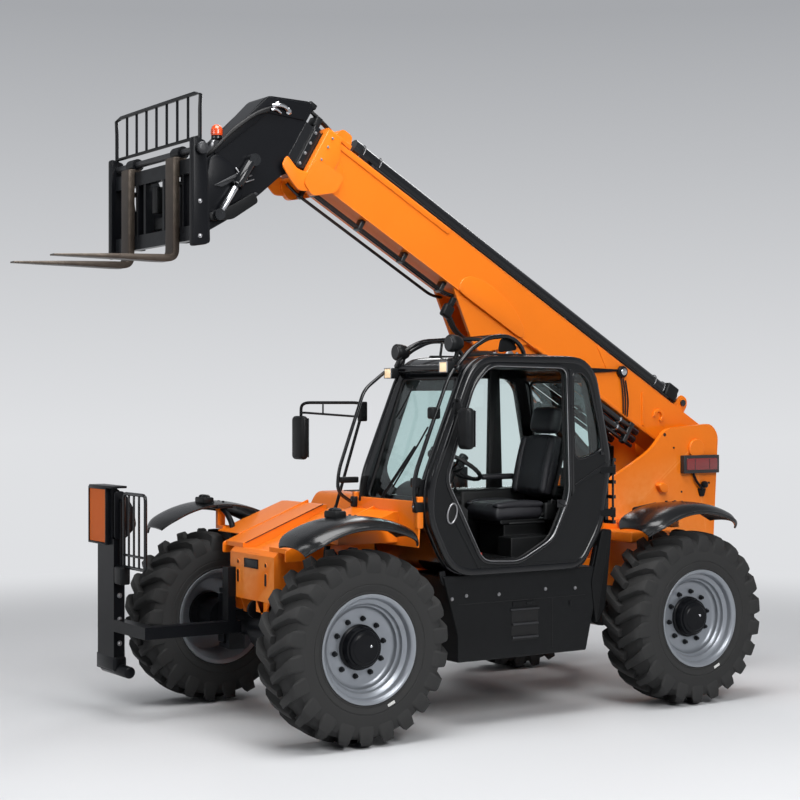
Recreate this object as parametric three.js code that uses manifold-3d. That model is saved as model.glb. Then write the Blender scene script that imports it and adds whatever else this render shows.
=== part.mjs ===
// Telehandler with a raised telescopic boom and a fork carriage, in millimetres.
// +Z is up, the machine faces -Y, and its left side, with the cab, is +X.
// The origin is on the floor, at the middle of the overall box seen from above.
import * as THREE from "three";
import { mergeVertices } from "three/addons/utils/BufferGeometryUtils.js";
import Module from "manifold-3d";

const wasm = await Module();
wasm.setup();

// ---- driving dimensions ----
const GAP = 0.3; // between pieces that seat on each other
const RUN = 6; // between pieces that move past each other
const PIN_GAP = 1; // round a pin, on the radius

const WHEEL_BASE = 2700;
const TRACK = 1924; // between the tyre centres
const TYRE_RADIUS = 600;
const TYRE_WIDTH = 400;
const AXLE_HEIGHT = TYRE_RADIUS;
const RIM_RADIUS = 335;
const RIM_WALL = 19;
const HUB_RADIUS = 132;
const KINGPIN_X = 700;

const FENDER_RADIUS = 795;
const FENDER_WALL = 14;
const FENDER_STEP = 6; // degrees of arc in each facet

const RAIL_X = 300; // outer face of the chassis side plates
const RAIL_WALL = 36;
const RAIL_LOW = 690;
const RAIL_HIGH = 960;
const NOSE_Y = -1540;
const NOSE_HIGH = 1130;
const NOSE_LOW = 800;
const TAIL_Y = 2290;

const PIVOT_Y = 2100; // boom pivot
const PIVOT_Z = 1740;
const PIVOT_RADIUS = 45;
const BOOM_ANGLE = THREE.MathUtils.degToRad(30.5);
const BOOM_WIDTH = 280;
const BOOM_HIGH = 254; // top and bottom faces, from the pivot's level in the boom's own frame
const BOOM_LOW = -76;
const BOOM_WALL = 14;
const BOOM_LENGTH = 3820;
const BOOM_TAIL = 150;
const SLIDE_CLEARANCE = 8; // between the inner section and the outer one

const CARRIAGE_Y = -2050; // tilt pivot at rest
const CARRIAGE_Z = 3250;
const CARRIAGE_HALF = 625;
const FORK_REACH = 1000;

const LIFT_FOOT_Y = 1897; // the lift cylinder's lower pin
const LIFT_FOOT_Z = 1116;
const LIFT_EYE_ALONG = 1742; // its upper pin, in the boom's own frame
const LIFT_EYE_DOWN = 229;

const CAB_INNER_X = 190;
const CAB_OUTER_X = 975;
const CAB_WALL = 45;
const CAB_LOW = 990;
const DOOR_THICKNESS = 40;
const DOOR_HINGE_Y = 690;

const BEAM = BOOM_HIGH - BOOM_LOW;
const DEG = Math.PI / 180;

// ---- finishes ----
const finish = (color, roughness, metalness) => new THREE.MeshStandardMaterial({ color, roughness, metalness });
const ORANGE = finish(0xf07a12, 0.35, 0.1);
const BLACK = finish(0x15161a, 0.4, 0.2);
const PLASTIC = finish(0x1b1c1f, 0.55, 0.0);
const RUBBER = finish(0x1c1c1c, 0.85, 0.0);
const SILVER = finish(0xaab0b6, 0.35, 0.7);
const CHROME = finish(0xd8d8d8, 0.15, 1.0);
const GLASS = finish(0x9fb8b4, 0.08, 0.0);
const LEATHER = finish(0x17181a, 0.6, 0.0);
const FORK_STEEL = finish(0x4a3a30, 0.55, 0.6);
const LAMP_RED = finish(0x8c1c1c, 0.3, 0.0);

// ---- solids ----
// A closed geometry as a solid that can be joined and cut.
function solid(geometry) {
  const bare = geometry.clone();
  bare.deleteAttribute("normal");
  bare.deleteAttribute("uv");
  const merged = mergeVertices(bare, 1e-4);
  return new wasm.Manifold(
    new wasm.Mesh({
      numProp: 3,
      vertProperties: new Float32Array(merged.attributes.position.array),
      triVerts: new Uint32Array(merged.index.array),
    }),
  );
}

const join = (...parts) => parts.reduce((whole, part) => whole.add(part));
const cut = (whole, ...parts) => parts.reduce((rest, part) => rest.subtract(part), whole);

// A block between two corners.
function block(x0, x1, y0, y1, z0, z1) {
  const shape = new THREE.BoxGeometry(x1 - x0, y1 - y0, z1 - z0);
  shape.translate((x0 + x1) / 2, (y0 + y1) / 2, (z0 + z1) / 2);
  return solid(shape);
}

// A flat outline of [y, z] points, from one x to another.
const SIDEWAYS = new THREE.Matrix4().set(0, 0, 1, 0, 1, 0, 0, 0, 0, 1, 0, 0, 0, 0, 0, 1);
function plate(outline, x0, x1) {
  const shape = outline instanceof THREE.Shape ? outline : new THREE.Shape(outline.map(([y, z]) => new THREE.Vector2(y, z)));
  const sheet = new THREE.ExtrudeGeometry(shape, { depth: x1 - x0, bevelEnabled: false, curveSegments: 3 });
  sheet.applyMatrix4(SIDEWAYS);
  sheet.translate(x0, 0, 0);
  return solid(sheet);
}

// The same outline with its corners rounded.
function rounded(points, radius) {
  const shape = new THREE.Shape();
  const corners = points.map(([y, z]) => new THREE.Vector2(y, z));
  corners.forEach((corner, i) => {
    const before = corners[(i + corners.length - 1) % corners.length];
    const after = corners[(i + 1) % corners.length];
    const reach = Math.min(radius, corner.distanceTo(before) * 0.45, corner.distanceTo(after) * 0.45);
    const start = corner.clone().lerp(before, reach / corner.distanceTo(before));
    const end = corner.clone().lerp(after, reach / corner.distanceTo(after));
    if (i === 0) shape.moveTo(start.x, start.y);
    else shape.lineTo(start.x, start.y);
    shape.quadraticCurveTo(corner.x, corner.y, end.x, end.y);
  });
  shape.closePath();
  return shape;
}

// A round bar along X.
function barX(radius, x0, x1, y, z, sides = 16) {
  const bar = new THREE.CylinderGeometry(radius, radius, x1 - x0, sides);
  bar.rotateZ(-Math.PI / 2);
  bar.translate((x0 + x1) / 2, y, z);
  return solid(bar);
}

// A round bar between two points.
function bar(radius, from, to, sides = 12) {
  const a = new THREE.Vector3(...from);
  const b = new THREE.Vector3(...to);
  const rod = new THREE.CylinderGeometry(radius, radius, a.distanceTo(b), sides);
  const turn = new THREE.Quaternion().setFromUnitVectors(new THREE.Vector3(0, 1, 0), b.clone().sub(a).normalize());
  rod.applyQuaternion(turn);
  rod.translate((a.x + b.x) / 2, (a.y + b.y) / 2, (a.z + b.z) / 2);
  return solid(rod);
}

// A round tube that follows a list of points with soft corners.
function pipe(radius, points, sides = 6, steps = 14) {
  const route = new THREE.CatmullRomCurve3(points.map((p) => new THREE.Vector3(...p)), false, "catmullrom", 0.2);
  const ring = new THREE.Shape();
  ring.absarc(0, 0, radius, 0, Math.PI * 2);
  return solid(new THREE.ExtrudeGeometry(ring, { extrudePath: route, steps, curveSegments: sides / 2, bevelEnabled: false }));
}

// A profile of [radius, place along the axle] points turned about X; side is +1 left, -1 right.
function turned(profile, side, segments = 32) {
  const shape = new THREE.LatheGeometry(profile.map(([r, a]) => new THREE.Vector2(r, a)), segments);
  shape.rotateZ(-side * Math.PI / 2);
  const out = solid(shape);
  return out.volume() > 0 ? out : solid(flipped(shape));
}

function flipped(geometry) {
  const copy = geometry.clone();
  const index = copy.index.array;
  for (let i = 0; i < index.length; i += 3) [index[i], index[i + 1]] = [index[i + 1], index[i]];
  return copy;
}

const group = new THREE.Group();

// A named piece made of a solid, put into a group at a place.
function node(name, piece, material, parent = group, place = [0, 0, 0]) {
  const { vertProperties, triVerts } = piece.getMesh();
  const shape = new THREE.BufferGeometry();
  shape.setAttribute("position", new THREE.BufferAttribute(new Float32Array(vertProperties), 3));
  shape.setIndex(new THREE.BufferAttribute(new Uint32Array(triVerts), 1));
  shape.computeVertexNormals();
  const mesh = new THREE.Mesh(shape, material);
  mesh.name = name;
  mesh.position.set(...place);
  parent.add(mesh);
  return mesh;
}

const frontY = -WHEEL_BASE / 2;
const rearY = WHEEL_BASE / 2;

// ---- wheels, knuckles and axles ----
const rimInner = RIM_RADIUS - 27;
const lip = TYRE_WIDTH / 2 - 8;
const discBack = -20;

function rimProfile() {
  return [
    [0, discBack], [rimInner - 30, discBack + 52], [rimInner - RIM_WALL, -lip + 40], [RIM_RADIUS, -lip],
    [RIM_RADIUS, -lip + 10], [rimInner, -lip + 26], [rimInner, lip - 26], [RIM_RADIUS, lip - 10],
    [RIM_RADIUS, lip], [rimInner - RIM_WALL, lip - 30], [rimInner - 36, 62], [HUB_RADIUS, 30], [HUB_RADIUS, 150], [0, 150],
  ];
}

function tyreProfile() {
  const half = TYRE_WIDTH / 2;
  const bead = rimInner + GAP;
  return [
    [bead, -lip + 28], [RIM_RADIUS + 4, -lip + 12], [RIM_RADIUS + 90, -half], [TYRE_RADIUS - 60, -half + 6],
    [TYRE_RADIUS - 6, -half + 60], [TYRE_RADIUS, 0], [TYRE_RADIUS - 6, half - 60], [TYRE_RADIUS - 60, half - 6],
    [RIM_RADIUS + 90, half], [RIM_RADIUS + 4, lip - 12], [bead, lip - 28], [bead, -lip + 28],
  ];
}

function knuckle(side) {
  const spindleEnd = TRACK / 2 - KINGPIN_X + discBack - GAP;
  const housing = barX(58, -40, 40, 0, 0, 20);
  const upright = block(-42, 42, -55, 55, -165, 165);
  const spindle = barX(120, 40, spindleEnd, 0, 0, 28);
  const arm = block(-30, 30, 55, 150, -60, -20);
  const whole = join(housing, upright, spindle, arm);
  return side > 0 ? whole : whole.mirror([1, 0, 0]);
}

for (const [end, y] of [["front", frontY], ["rear", rearY]]) {
  for (const [hand, side] of [["left", 1], ["right", -1]]) {
    const centre = [side * TRACK / 2, y, AXLE_HEIGHT];
    node(`tyre_${end}_${hand}`, turned(tyreProfile(), side), RUBBER, group, centre);
    node(`rim_${end}_${hand}`, turned(rimProfile(), side), SILVER, group, centre);
    node(`knuckle_${end}_${hand}`, knuckle(side), BLACK, group, [side * KINGPIN_X, y, AXLE_HEIGHT]);
  }
}

function axle() {
  const yokeIn = KINGPIN_X - 132;
  const yokeOut = KINGPIN_X - 90;
  let beam = join(
    barX(85, -yokeOut, yokeOut, 0, 0, 20),
    barX(165, -110, 110, 0, 0, 24),
    block(-RAIL_X, RAIL_X, -70, 70, 40, RAIL_LOW - AXLE_HEIGHT - GAP),
  );
  for (const side of [1, -1]) {
    const x = (near, far) => (side > 0 ? [near, far] : [-far, -near]);
    beam = beam.add(block(...x(yokeIn, yokeOut), -60, 60, -205, 205));
    for (const up of [1, -1]) {
      const z = up > 0 ? [173, 205] : [-205, -173];
      beam = beam.add(block(...x(yokeOut - 5, KINGPIN_X + 45), -45, 45, ...z));
      const stub = up > 0 ? [165 + GAP, 175] : [-175, -165 - GAP];
      beam = beam.add(bar(26, [side * KINGPIN_X, 0, stub[0]], [side * KINGPIN_X, 0, stub[1]]));
    }
  }
  return beam;
}
node("front_axle", axle(), BLACK, group, [0, frontY, AXLE_HEIGHT]);
node("rear_axle", axle(), BLACK, group, [0, rearY, AXLE_HEIGHT]);

// ---- chassis ----
const UPRIGHT = [
  [1150, RAIL_HIGH - 40], [1212, 1264], [1250, 1529], [1480, 1640], [1666, 1746], [1805, 1897], [2262, 1932],
  [2335, 1850], [2303, 1301], [2280, RAIL_HIGH - 40],
];

// Bracket that carries a rear fender from the frame.
function fenderArm(side) {
  const top = AXLE_HEIGHT + FENDER_RADIUS - FENDER_WALL - 2;
  const wide = TRACK / 2 - 60;
  const arm = join(
    block(RAIL_X - 10, wide, rearY - 30, rearY + 30, 1215, 1240),
    block(wide - 30, wide, rearY - 30, rearY + 30, 1230, top),
  );
  return side > 0 ? arm : arm.mirror([1, 0, 0]);
}

function chassis() {
  const inner = RAIL_X - RAIL_WALL;
  const sides = [];
  for (const [x0, x1] of [[inner, RAIL_X], [-RAIL_X, -inner]]) {
    const rail = [
      [NOSE_Y + 60, NOSE_LOW], [frontY - 90, RAIL_LOW], [TAIL_Y, RAIL_LOW], [TAIL_Y, RAIL_HIGH],
      [-900, RAIL_HIGH], [-900, NOSE_HIGH], [NOSE_Y + 60, NOSE_HIGH],
    ];
    sides.push(plate(rail, x0, x1), plate(rounded(UPRIGHT, 60), x0, x1));
  }
  const nose = plate([[NOSE_Y, NOSE_LOW], [NOSE_Y, NOSE_HIGH - 30], [NOSE_Y + 30, NOSE_HIGH], [-900, NOSE_HIGH],
    [-900, NOSE_HIGH - 30], [NOSE_Y + 60, NOSE_HIGH - 30], [NOSE_Y + 60, NOSE_LOW]], -RAIL_X, RAIL_X);
  const tongue = plate([[NOSE_Y, NOSE_LOW], [NOSE_Y + 40, NOSE_LOW], [NOSE_Y + 40, NOSE_LOW - 70], [NOSE_Y, NOSE_LOW - 70]], 60, 160);
  const floorPlate = join(
    block(-RAIL_X, RAIL_X, -1180, rearY - 200, RAIL_LOW, RAIL_LOW + 20),
    block(-RAIL_X, RAIL_X, rearY + 200, TAIL_Y, RAIL_LOW, RAIL_LOW + 20),
  );
  const back = block(-RAIL_X, RAIL_X, TAIL_Y - 40, TAIL_Y, RAIL_LOW, 1250);
  const bossZ = PIVOT_Z;
  const bosses = join(
    barX(110, BOOM_WIDTH / 2 + RUN, inner + 5, PIVOT_Y, bossZ),
    barX(110, -inner - 5, -BOOM_WIDTH / 2 - RUN, PIVOT_Y, bossZ),
  );
  const liftFeet = join(...[1, -1].map((side) => {
    const foot = [[LIFT_FOOT_Y - 120, RAIL_LOW + 10], [LIFT_FOOT_Y + 120, RAIL_LOW + 10],
      [LIFT_FOOT_Y + 60, LIFT_FOOT_Z + 60], [LIFT_FOOT_Y - 60, LIFT_FOOT_Z + 60]];
    return side > 0 ? plate(rounded(foot, 40), 58, 88) : plate(rounded(foot, 40), -88, -58);
  }));
  const bodyWork = join(...sides, nose, tongue, floorPlate, back, bosses, liftFeet, fenderArm(1), fenderArm(-1));
  const pinHole = barX(PIVOT_RADIUS + GAP, -RAIL_X - 10, RAIL_X + 10, PIVOT_Y, PIVOT_Z);
  const footPin = barX(30, -92, 92, LIFT_FOOT_Y, LIFT_FOOT_Z, 20);
  const slots = [-190, 190].map((x) => block(x - 16, x + 16, NOSE_Y - 10, NOSE_Y + 50, 905, 985));
  return cut(bodyWork.add(footPin), pinHole, ...slots);
}
node("chassis_frame", chassis(), ORANGE);
node("boom_pivot_pin", join(
  barX(PIVOT_RADIUS, -RAIL_X - 20, RAIL_X + 20, PIVOT_Y, PIVOT_Z),
  barX(75, RAIL_X + GAP, RAIL_X + 22, PIVOT_Y, PIVOT_Z),
  barX(75, -RAIL_X - 22, -RAIL_X - GAP, PIVOT_Y, PIVOT_Z),
), BLACK);

function hood(side) {
  const inner = plate([[NOSE_Y + 30, NOSE_HIGH + GAP], [NOSE_Y + 30, 1160], [-905, 1395], [-860, 1395], [-860, NOSE_HIGH + GAP]], 180, 430);
  const wing = plate([[NOSE_Y + 130, 1200], [NOSE_Y + 130, 1206], [-905, 1395], [-860, 1395], [-860, 1200]], 420, 735);
  const arm = join(
    block(720, 830, frontY - 30, frontY + 30, 1212, 1236),
    block(800, 830, frontY - 30, frontY + 30, 1212, AXLE_HEIGHT + FENDER_RADIUS - FENDER_WALL - 2),
  );
  const whole = join(inner, wing, arm);
  return side > 0 ? whole : whole.mirror([1, 0, 0]);
}
node("hood_left", hood(1), ORANGE);
node("hood_right", hood(-1), ORANGE);

// Engine on the right of the frame, under its cover.
const POD = { x0: -985, x1: -320, y0: -560, y1: 560, z0: 640, z1: 1440 };
function engineCover() {
  const { x0, x1, y0, y1, z0, z1 } = POD;
  const profile = [[y0, z0], [y0, z1 - 160], [y0 + 90, z1], [y1 - 60, z1], [y1, z1 - 60], [y1, z0]];
  const outer = plate(rounded(profile, 50), x0, x1);
  const hollow = block(x0 + 20, x1 - 20, y0 + 20, y1 - 20, z0 - 10, z1 - 180);
  return cut(outer, hollow);
}
node("engine_cover", engineCover(), ORANGE);
node("engine_block", join(
  block(POD.x0 + 60, POD.x1 - 60, POD.y0 + 60, POD.y1 - 60, POD.z0 + 30, POD.z1 - 190),
  block(POD.x0, -RAIL_X - GAP, -500, -400, POD.z0 - 40, POD.z0 - GAP),
  block(POD.x0, -RAIL_X - GAP, 400, 500, POD.z0 - 40, POD.z0 - GAP),
  block(POD.x0 + 100, POD.x0 + 200, -480, -420, POD.z0 - 10, POD.z0 + 40),
  block(POD.x1 - 200, POD.x1 - 100, -480, -420, POD.z0 - 10, POD.z0 + 40),
  block(POD.x0 + 100, POD.x0 + 200, 420, 480, POD.z0 - 10, POD.z0 + 40),
  block(POD.x1 - 200, POD.x1 - 100, 420, 480, POD.z0 - 10, POD.z0 + 40),
  block(-RAIL_X - 60, -RAIL_X - GAP, -500, 500, POD.z0 - 40, POD.z0 - GAP),
  block(-RAIL_X - 10, -RAIL_X - GAP, -500, 500, POD.z0 - 40, POD.z0 + 200),
), BLACK);

// ---- fenders ----
function fender(side, back, front, centreY) {
  const arc = (radius) => {
    const points = [];
    for (let angle = back; angle <= front; angle += FENDER_STEP) {
      points.push([centreY + radius * Math.cos(angle * DEG), AXLE_HEIGHT + radius * Math.sin(angle * DEG)]);
    }
    return points;
  };
  const outline = [...arc(FENDER_RADIUS), ...arc(FENDER_RADIUS - FENDER_WALL).reverse()];
  const shell = plate(outline, TRACK / 2 - TYRE_WIDTH / 2 - 10, TRACK / 2 + TYRE_WIDTH / 2 + 4);
  return side > 0 ? shell : shell.mirror([1, 0, 0]);
}
for (const [hand, side] of [["left", 1], ["right", -1]]) {
  node(`fender_front_${hand}`, fender(side, 60, 126, frontY), PLASTIC);
  node(`fender_rear_${hand}`, fender(side, 54, 126, rearY), PLASTIC);
}
// ---- side box under the cab ----
node("step_box", join(
  plate([[-690, CAB_LOW - GAP], [-575, 600], [-575, 430], [480, 430], [560, 760], [560, CAB_LOW - GAP]], 560, CAB_OUTER_X),
  plate([[-575, 700], [-575, 760], [480, 760], [480, 700]], RAIL_X + GAP, 570),
), PLASTIC);

// ---- cab ----
const CAB_OUTLINE = [
  [-561, CAB_LOW], [406, CAB_LOW], [585, 1266], [660, 1696], [527, 2290], [410, 2395], [-400, 2395], [-520, 2310],
  [-823, 1592], [-838, 1357], [-690, 1062],
];
const ROOF_SEAM = 2330;
const FLOOR = 1062;
const DOOR_X = CAB_OUTER_X + 8;

function shrink(points, wall) {
  const middleY = points.reduce((sum, p) => sum + p[0], 0) / points.length;
  const middleZ = points.reduce((sum, p) => sum + p[1], 0) / points.length;
  const far = points.map(([y, z]) => [y - middleY, z - middleZ]);
  return far.map(([y, z]) => {
    const reach = Math.hypot(y, z);
    return [middleY + y * (1 - wall / reach), middleZ + z * (1 - wall / reach)];
  });
}

const INNER_OUTLINE = shrink(CAB_OUTLINE, CAB_WALL * 1.25);
const sideWall = CAB_INNER_X + 40;

function cabFrame() {
  const ring = cut(
    plate(rounded(CAB_OUTLINE, 60), sideWall + GAP, CAB_OUTER_X),
    plate(rounded(INNER_OUTLINE, 50), sideWall - 10, CAB_OUTER_X + 10),
    block(0, 2000, -1500, 1500, ROOF_SEAM, 3000),
  );
  const frontWindow = block(sideWall + 55, CAB_OUTER_X - 60, -1200, -480, 1450, 2250);
  const backWindow = block(sideWall + 60, CAB_OUTER_X - 70, 480, 900, 1500, 2240);
  const shell = cut(ring, frontWindow, backWindow);
  const floor = block(sideWall + GAP, CAB_OUTER_X, -480, 400, FLOOR - 30, FLOOR);
  const gudgeons = [1285, 1455, 1555, 1705].map((z) =>
    block(CAB_OUTER_X - 40, DOOR_X + 34, DOOR_HINGE_Y - 12, DOOR_HINGE_Y + 14, z - 12, z + 12));
  const post = join(
    bar(8, [DOOR_X + 20, DOOR_HINGE_Y, 1290], [DOOR_X + 20, DOOR_HINGE_Y, 1700]),
    block(CAB_OUTER_X - 60, CAB_OUTER_X - 36, DOOR_HINGE_Y - 12, DOOR_HINGE_Y + 14, 1273, 1717),
    block(CAB_OUTER_X - 60, CAB_OUTER_X - 36, 600, DOOR_HINGE_Y, 1490, 1530),
    ...gudgeons,
  );
  return join(shell, floor, post);
}
node("cab_frame", cabFrame(), BLACK);

function cabRoof() {
  const ring = cut(
    plate(rounded(CAB_OUTLINE, 60), sideWall + GAP, CAB_OUTER_X),
    plate(rounded(INNER_OUTLINE, 50), sideWall - 10, CAB_OUTER_X + 10),
  );
  return ring.intersect(block(0, 2000, -1500, 1500, ROOF_SEAM + GAP, 3000));
}
node("cab_roof", cabRoof(), BLACK);

const SIDE_WINDOW = [[-560, 1500], [-640, 1640], [-420, 2200], [-360, 2260], [380, 2260], [450, 2190], [540, 1720], [500, 1500]];
node("cab_side_right", cut(
  plate(rounded(CAB_OUTLINE, 60), CAB_INNER_X, sideWall),
  plate(rounded(SIDE_WINDOW, 60), CAB_INNER_X - 10, sideWall + 10),
), BLACK);
node("window_right", plate(rounded(shrink(SIDE_WINDOW, 1), 60), CAB_INNER_X + 16, CAB_INNER_X + 22), GLASS);

// A pane that fills a window in the sloping front or back of the ring.
function pane(from, to, x0, x1, thickness) {
  const along = new THREE.Vector2(to[0] - from[0], to[1] - from[1]).normalize();
  const off = [along.y * thickness, -along.x * thickness];
  return plate([from, to, [to[0] + off[0], to[1] + off[1]], [from[0] + off[0], from[1] + off[1]]].reverse(), x0, x1);
}
node("windscreen", pane([-818, 1455], [-534, 2248], sideWall + 55 + GAP, CAB_OUTER_X - 60 - GAP, 8), GLASS);
node("rear_window", pane([595, 1501], [525, 2239], sideWall + 60 + GAP, CAB_OUTER_X - 70 - GAP, 8), GLASS);

// ---- door ----
const DOOR_OPENING = [
  [-480, 2200], [-690, 1600], [-600, 1440], [-411, 1081], [-122, 1066], [147, 1197], [290, 1480], [269, 2320],
  [-356, 2328],
];
const QUARTER = [[330, 2290], [345, 1740], [400, 1720], [575, 1772], [560, 1900], [470, 2230], [410, 2290]];
function door() {
  const skin = cut(
    plate(rounded(CAB_OUTLINE, 70), DOOR_X, DOOR_X + DOOR_THICKNESS),
    plate(rounded(DOOR_OPENING, 70), DOOR_X - 10, DOOR_X + DOOR_THICKNESS + 10),
    plate(rounded(QUARTER, 40), DOOR_X - 10, DOOR_X + DOOR_THICKNESS + 10),
  );
  const straps = [1350, 1640].map((z) => block(DOOR_X + 10, DOOR_X + 30, 560, DOOR_HINGE_Y, z - 25, z + 25));
  const eyes = [1350, 1640].map((z) => bar(18, [DOOR_X + 20, DOOR_HINGE_Y, z - 25], [DOOR_X + 20, DOOR_HINGE_Y, z + 25]));
  return cut(join(skin, ...straps, ...eyes), bar(9, [DOOR_X + 20, DOOR_HINGE_Y, 1200], [DOOR_X + 20, DOOR_HINGE_Y, 1800]));
}
node("door", door(), PLASTIC);
node("door_quarter_glass", plate(rounded(shrink(QUARTER, 2), 38), DOOR_X + 16, DOOR_X + 22), GLASS);
// ---- cab inside ----
node("seat_base", join(
  block(440, 720, -20, 330, FLOOR + GAP, 1290),
  block(420, 740, -60, 350, 1280, 1310 - GAP),
  block(700, CAB_OUTER_X - 120, -60, 300, FLOOR + GAP, 1200),
), BLACK);
node("seat_cushion", block(370, 790, -150, 330, 1310, 1420), LEATHER);
node("seat_backrest", join(
  plate([[290, 1420 + GAP], [360, 1420 + GAP], [470, 1880], [400, 1900]], 380, 780),
  plate([[405, 1870], [465, 1860], [485, 2050], [425, 2060]], 450, 710),
), LEATHER);
// Steering wheel on its column, square to the column.
const COLUMN_FOOT = [580, -500, 1380];
const COLUMN_TOP = [580, -320, 1676];
node("dashboard", plate([[-640, 1300], [-520, 1140], [-475, FLOOR + GAP], [-430, FLOOR + GAP], [-430, 1400], [-560, 1480], [-700, 1480]], 300, 880)
  .subtract(bar(28 + PIN_GAP, [COLUMN_FOOT[0], COLUMN_FOOT[1] - 18, COLUMN_FOOT[2] - 30], COLUMN_TOP)), PLASTIC);
function steering() {
  const lean = -Math.atan2(COLUMN_TOP[1] - COLUMN_FOOT[1], COLUMN_TOP[2] - COLUMN_FOOT[2]);
  const ring = new THREE.TorusGeometry(170, 14, 6, 20);
  ring.rotateX(lean);
  ring.translate(...COLUMN_TOP);
  const spokes = [90, 210, 330].map((degrees) => {
    const reach = new THREE.Vector3(168 * Math.cos(degrees * DEG), 168 * Math.sin(degrees * DEG), 0);
    reach.applyAxisAngle(new THREE.Vector3(1, 0, 0), lean).add(new THREE.Vector3(...COLUMN_TOP));
    return bar(10, COLUMN_TOP, reach.toArray(), 8);
  });
  return join(solid(ring), bar(28, COLUMN_FOOT, COLUMN_TOP), ...spokes);
}
node("steering_column", steering(), BLACK);

// ---- mirrors and roof guard ----
function mirrorRight() {
  const postX = -345;
  const post = pipe(11, [[postX, -850, 1300], [postX, -720, 1300], [postX, -690, 1362], [postX, -455, 2078],
    [postX - 40, -490, 2088], [-600, -785, 2085], [-640, -800, 2060], [-640, -800, 1985]]);
  const brace = bar(9, [postX, -484, 1992], [-640, -800, 2030]);
  const head = block(-720, -560, -835, -785, 1690, 1995);
  const foot = block(postX - 30, postX + 30, -860 + GAP, -846, 1260, 1340);
  return join(post, brace, head, foot);
}
node("mirror_right", mirrorRight(), PLASTIC);

function mirrorLeft() {
  const x = DOOR_X + DOOR_THICKNESS;
  return join(
    block(x + GAP, x + 16, -640, -600, 1960, 2060),
    pipe(9, [[x + 8, -620, 2030], [x + 60, -640, 2040], [x + 110, -640, 2020], [x + 110, -640, 1980]]),
    block(x + 40, x + 190, -665, -615, 1810, 2000),
  );
}
node("mirror_left", mirrorLeft(), PLASTIC);

// ---- boom: its own frame runs along -Y from the pivot ----
const boom = new THREE.Group();
boom.position.set(0, PIVOT_Y, PIVOT_Z);
boom.rotation.x = -BOOM_ANGLE;
group.add(boom);
const half = BOOM_WIDTH / 2;
const slideHalf = half - BOOM_WALL - SLIDE_CLEARANCE;
const slideLow = BOOM_LOW + BOOM_WALL + SLIDE_CLEARANCE;
const slideHigh = BOOM_HIGH - BOOM_WALL - SLIDE_CLEARANCE;

function boomOuter() {
  const shell = block(-half, half, -BOOM_LENGTH, BOOM_TAIL, BOOM_LOW, BOOM_HIGH);
  const bore = block(-half + BOOM_WALL, half - BOOM_WALL, -BOOM_LENGTH - 50, -260, BOOM_LOW + BOOM_WALL, BOOM_HIGH - BOOM_WALL);
  const collar = block(-half - 22, half + 22, -BOOM_LENGTH, -BOOM_LENGTH + 130, BOOM_LOW - 24, BOOM_HIGH + 20);
  const tail = plate([[BOOM_TAIL - 10, BOOM_LOW], [BOOM_TAIL - 10, BOOM_HIGH - 100], [-200, BOOM_HIGH], [-300, BOOM_LOW]], -half, half);
  const eyeY = -LIFT_EYE_ALONG;
  const eyeZ = -LIFT_EYE_DOWN;
  const lugOutline = [[eyeY - 260, BOOM_LOW + 5], [eyeY - 60, eyeZ - 60], [eyeY + 60, eyeZ - 60], [eyeY + 260, BOOM_LOW + 5]];
  const lugs = join(plate(rounded(lugOutline, 50), 66, 94), plate(rounded(lugOutline, 50), -94, -66));
  const frontOutline = [[-2420, BOOM_LOW + 5], [-2330, BOOM_LOW - 60], [-2060, -330], [-1960, -350], [-1900, -280], [-1640, BOOM_LOW + 5]];
  const frontLugs = join(plate(rounded(frontOutline, 30), half - 40, half - 14), plate(rounded(frontOutline, 30), 14 - half, 40 - half));
  const rearBracket = plate(rounded([[-60, BOOM_HIGH - 5], [-200, BOOM_HIGH - 5], [-160, BOOM_HIGH + 120], [-90, BOOM_HIGH + 120]], 25), -20, 80);
  const frontBracket = plate(rounded([[-3560, BOOM_HIGH - 5], [-3730, BOOM_HIGH - 5], [-3690, BOOM_HIGH + 120], [-3600, BOOM_HIGH + 120]], 25), -20, 80);
  const hook = plate(rounded([[-3800, 40], [-3800, -150], [-3700, -190], [-3560, -70], [-3560, 60]], 30), half - 5, half + 40);
  const hookFar = plate(rounded([[-3800, 40], [-3800, -150], [-3700, -190], [-3560, -70], [-3560, 60]], 30), -half - 40, 5 - half);
  const eyePins = join(barX(40, 84, 110, eyeY, eyeZ, 20), barX(40, -110, -84, eyeY, eyeZ, 20));
  const pads = join(
    block(-60, 60, -BOOM_LENGTH + 10, -BOOM_LENGTH + 120, slideHigh + GAP, BOOM_HIGH - BOOM_WALL + 2),
    block(-60, 60, -BOOM_LENGTH + 10, -BOOM_LENGTH + 120, BOOM_LOW + BOOM_WALL - 2, slideLow - GAP),
  );
  const whole = join(shell, collar, tail, eyePins, lugs, frontLugs, rearBracket, frontBracket, hook, hookFar);
  const pin = barX(PIVOT_RADIUS + PIN_GAP, -half - 30, half + 30, 0, 0);
  return cut(whole, pin, bore).add(pads);
}
node("boom_outer", boomOuter(), ORANGE, boom);
const tubeLevel = BOOM_HIGH + 70;
node("boom_top_cylinder", join(
  bar(42, [30, -3560 + GAP, tubeLevel], [30, -200 - GAP, tubeLevel], 20),
  block(-10, 70, -330, -250, BOOM_HIGH + GAP, tubeLevel),
  block(-10, 70, -3500, -3420, BOOM_HIGH + GAP, tubeLevel),
), BLACK, boom);
const pipeLevel = BOOM_LOW - 110;
node("boom_under_pipes", join(
  bar(14, [100, -3700, pipeLevel], [100, -2350, pipeLevel]),
  bar(14, [60, -3700, pipeLevel], [60, -2350, pipeLevel]),
  block(40, 120, -3680, -3650, pipeLevel - 20, BOOM_LOW - 24 - GAP),
  block(40, 96, -2500, -2470, pipeLevel - 20, BOOM_LOW - GAP),
), BLACK, boom);

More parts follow.
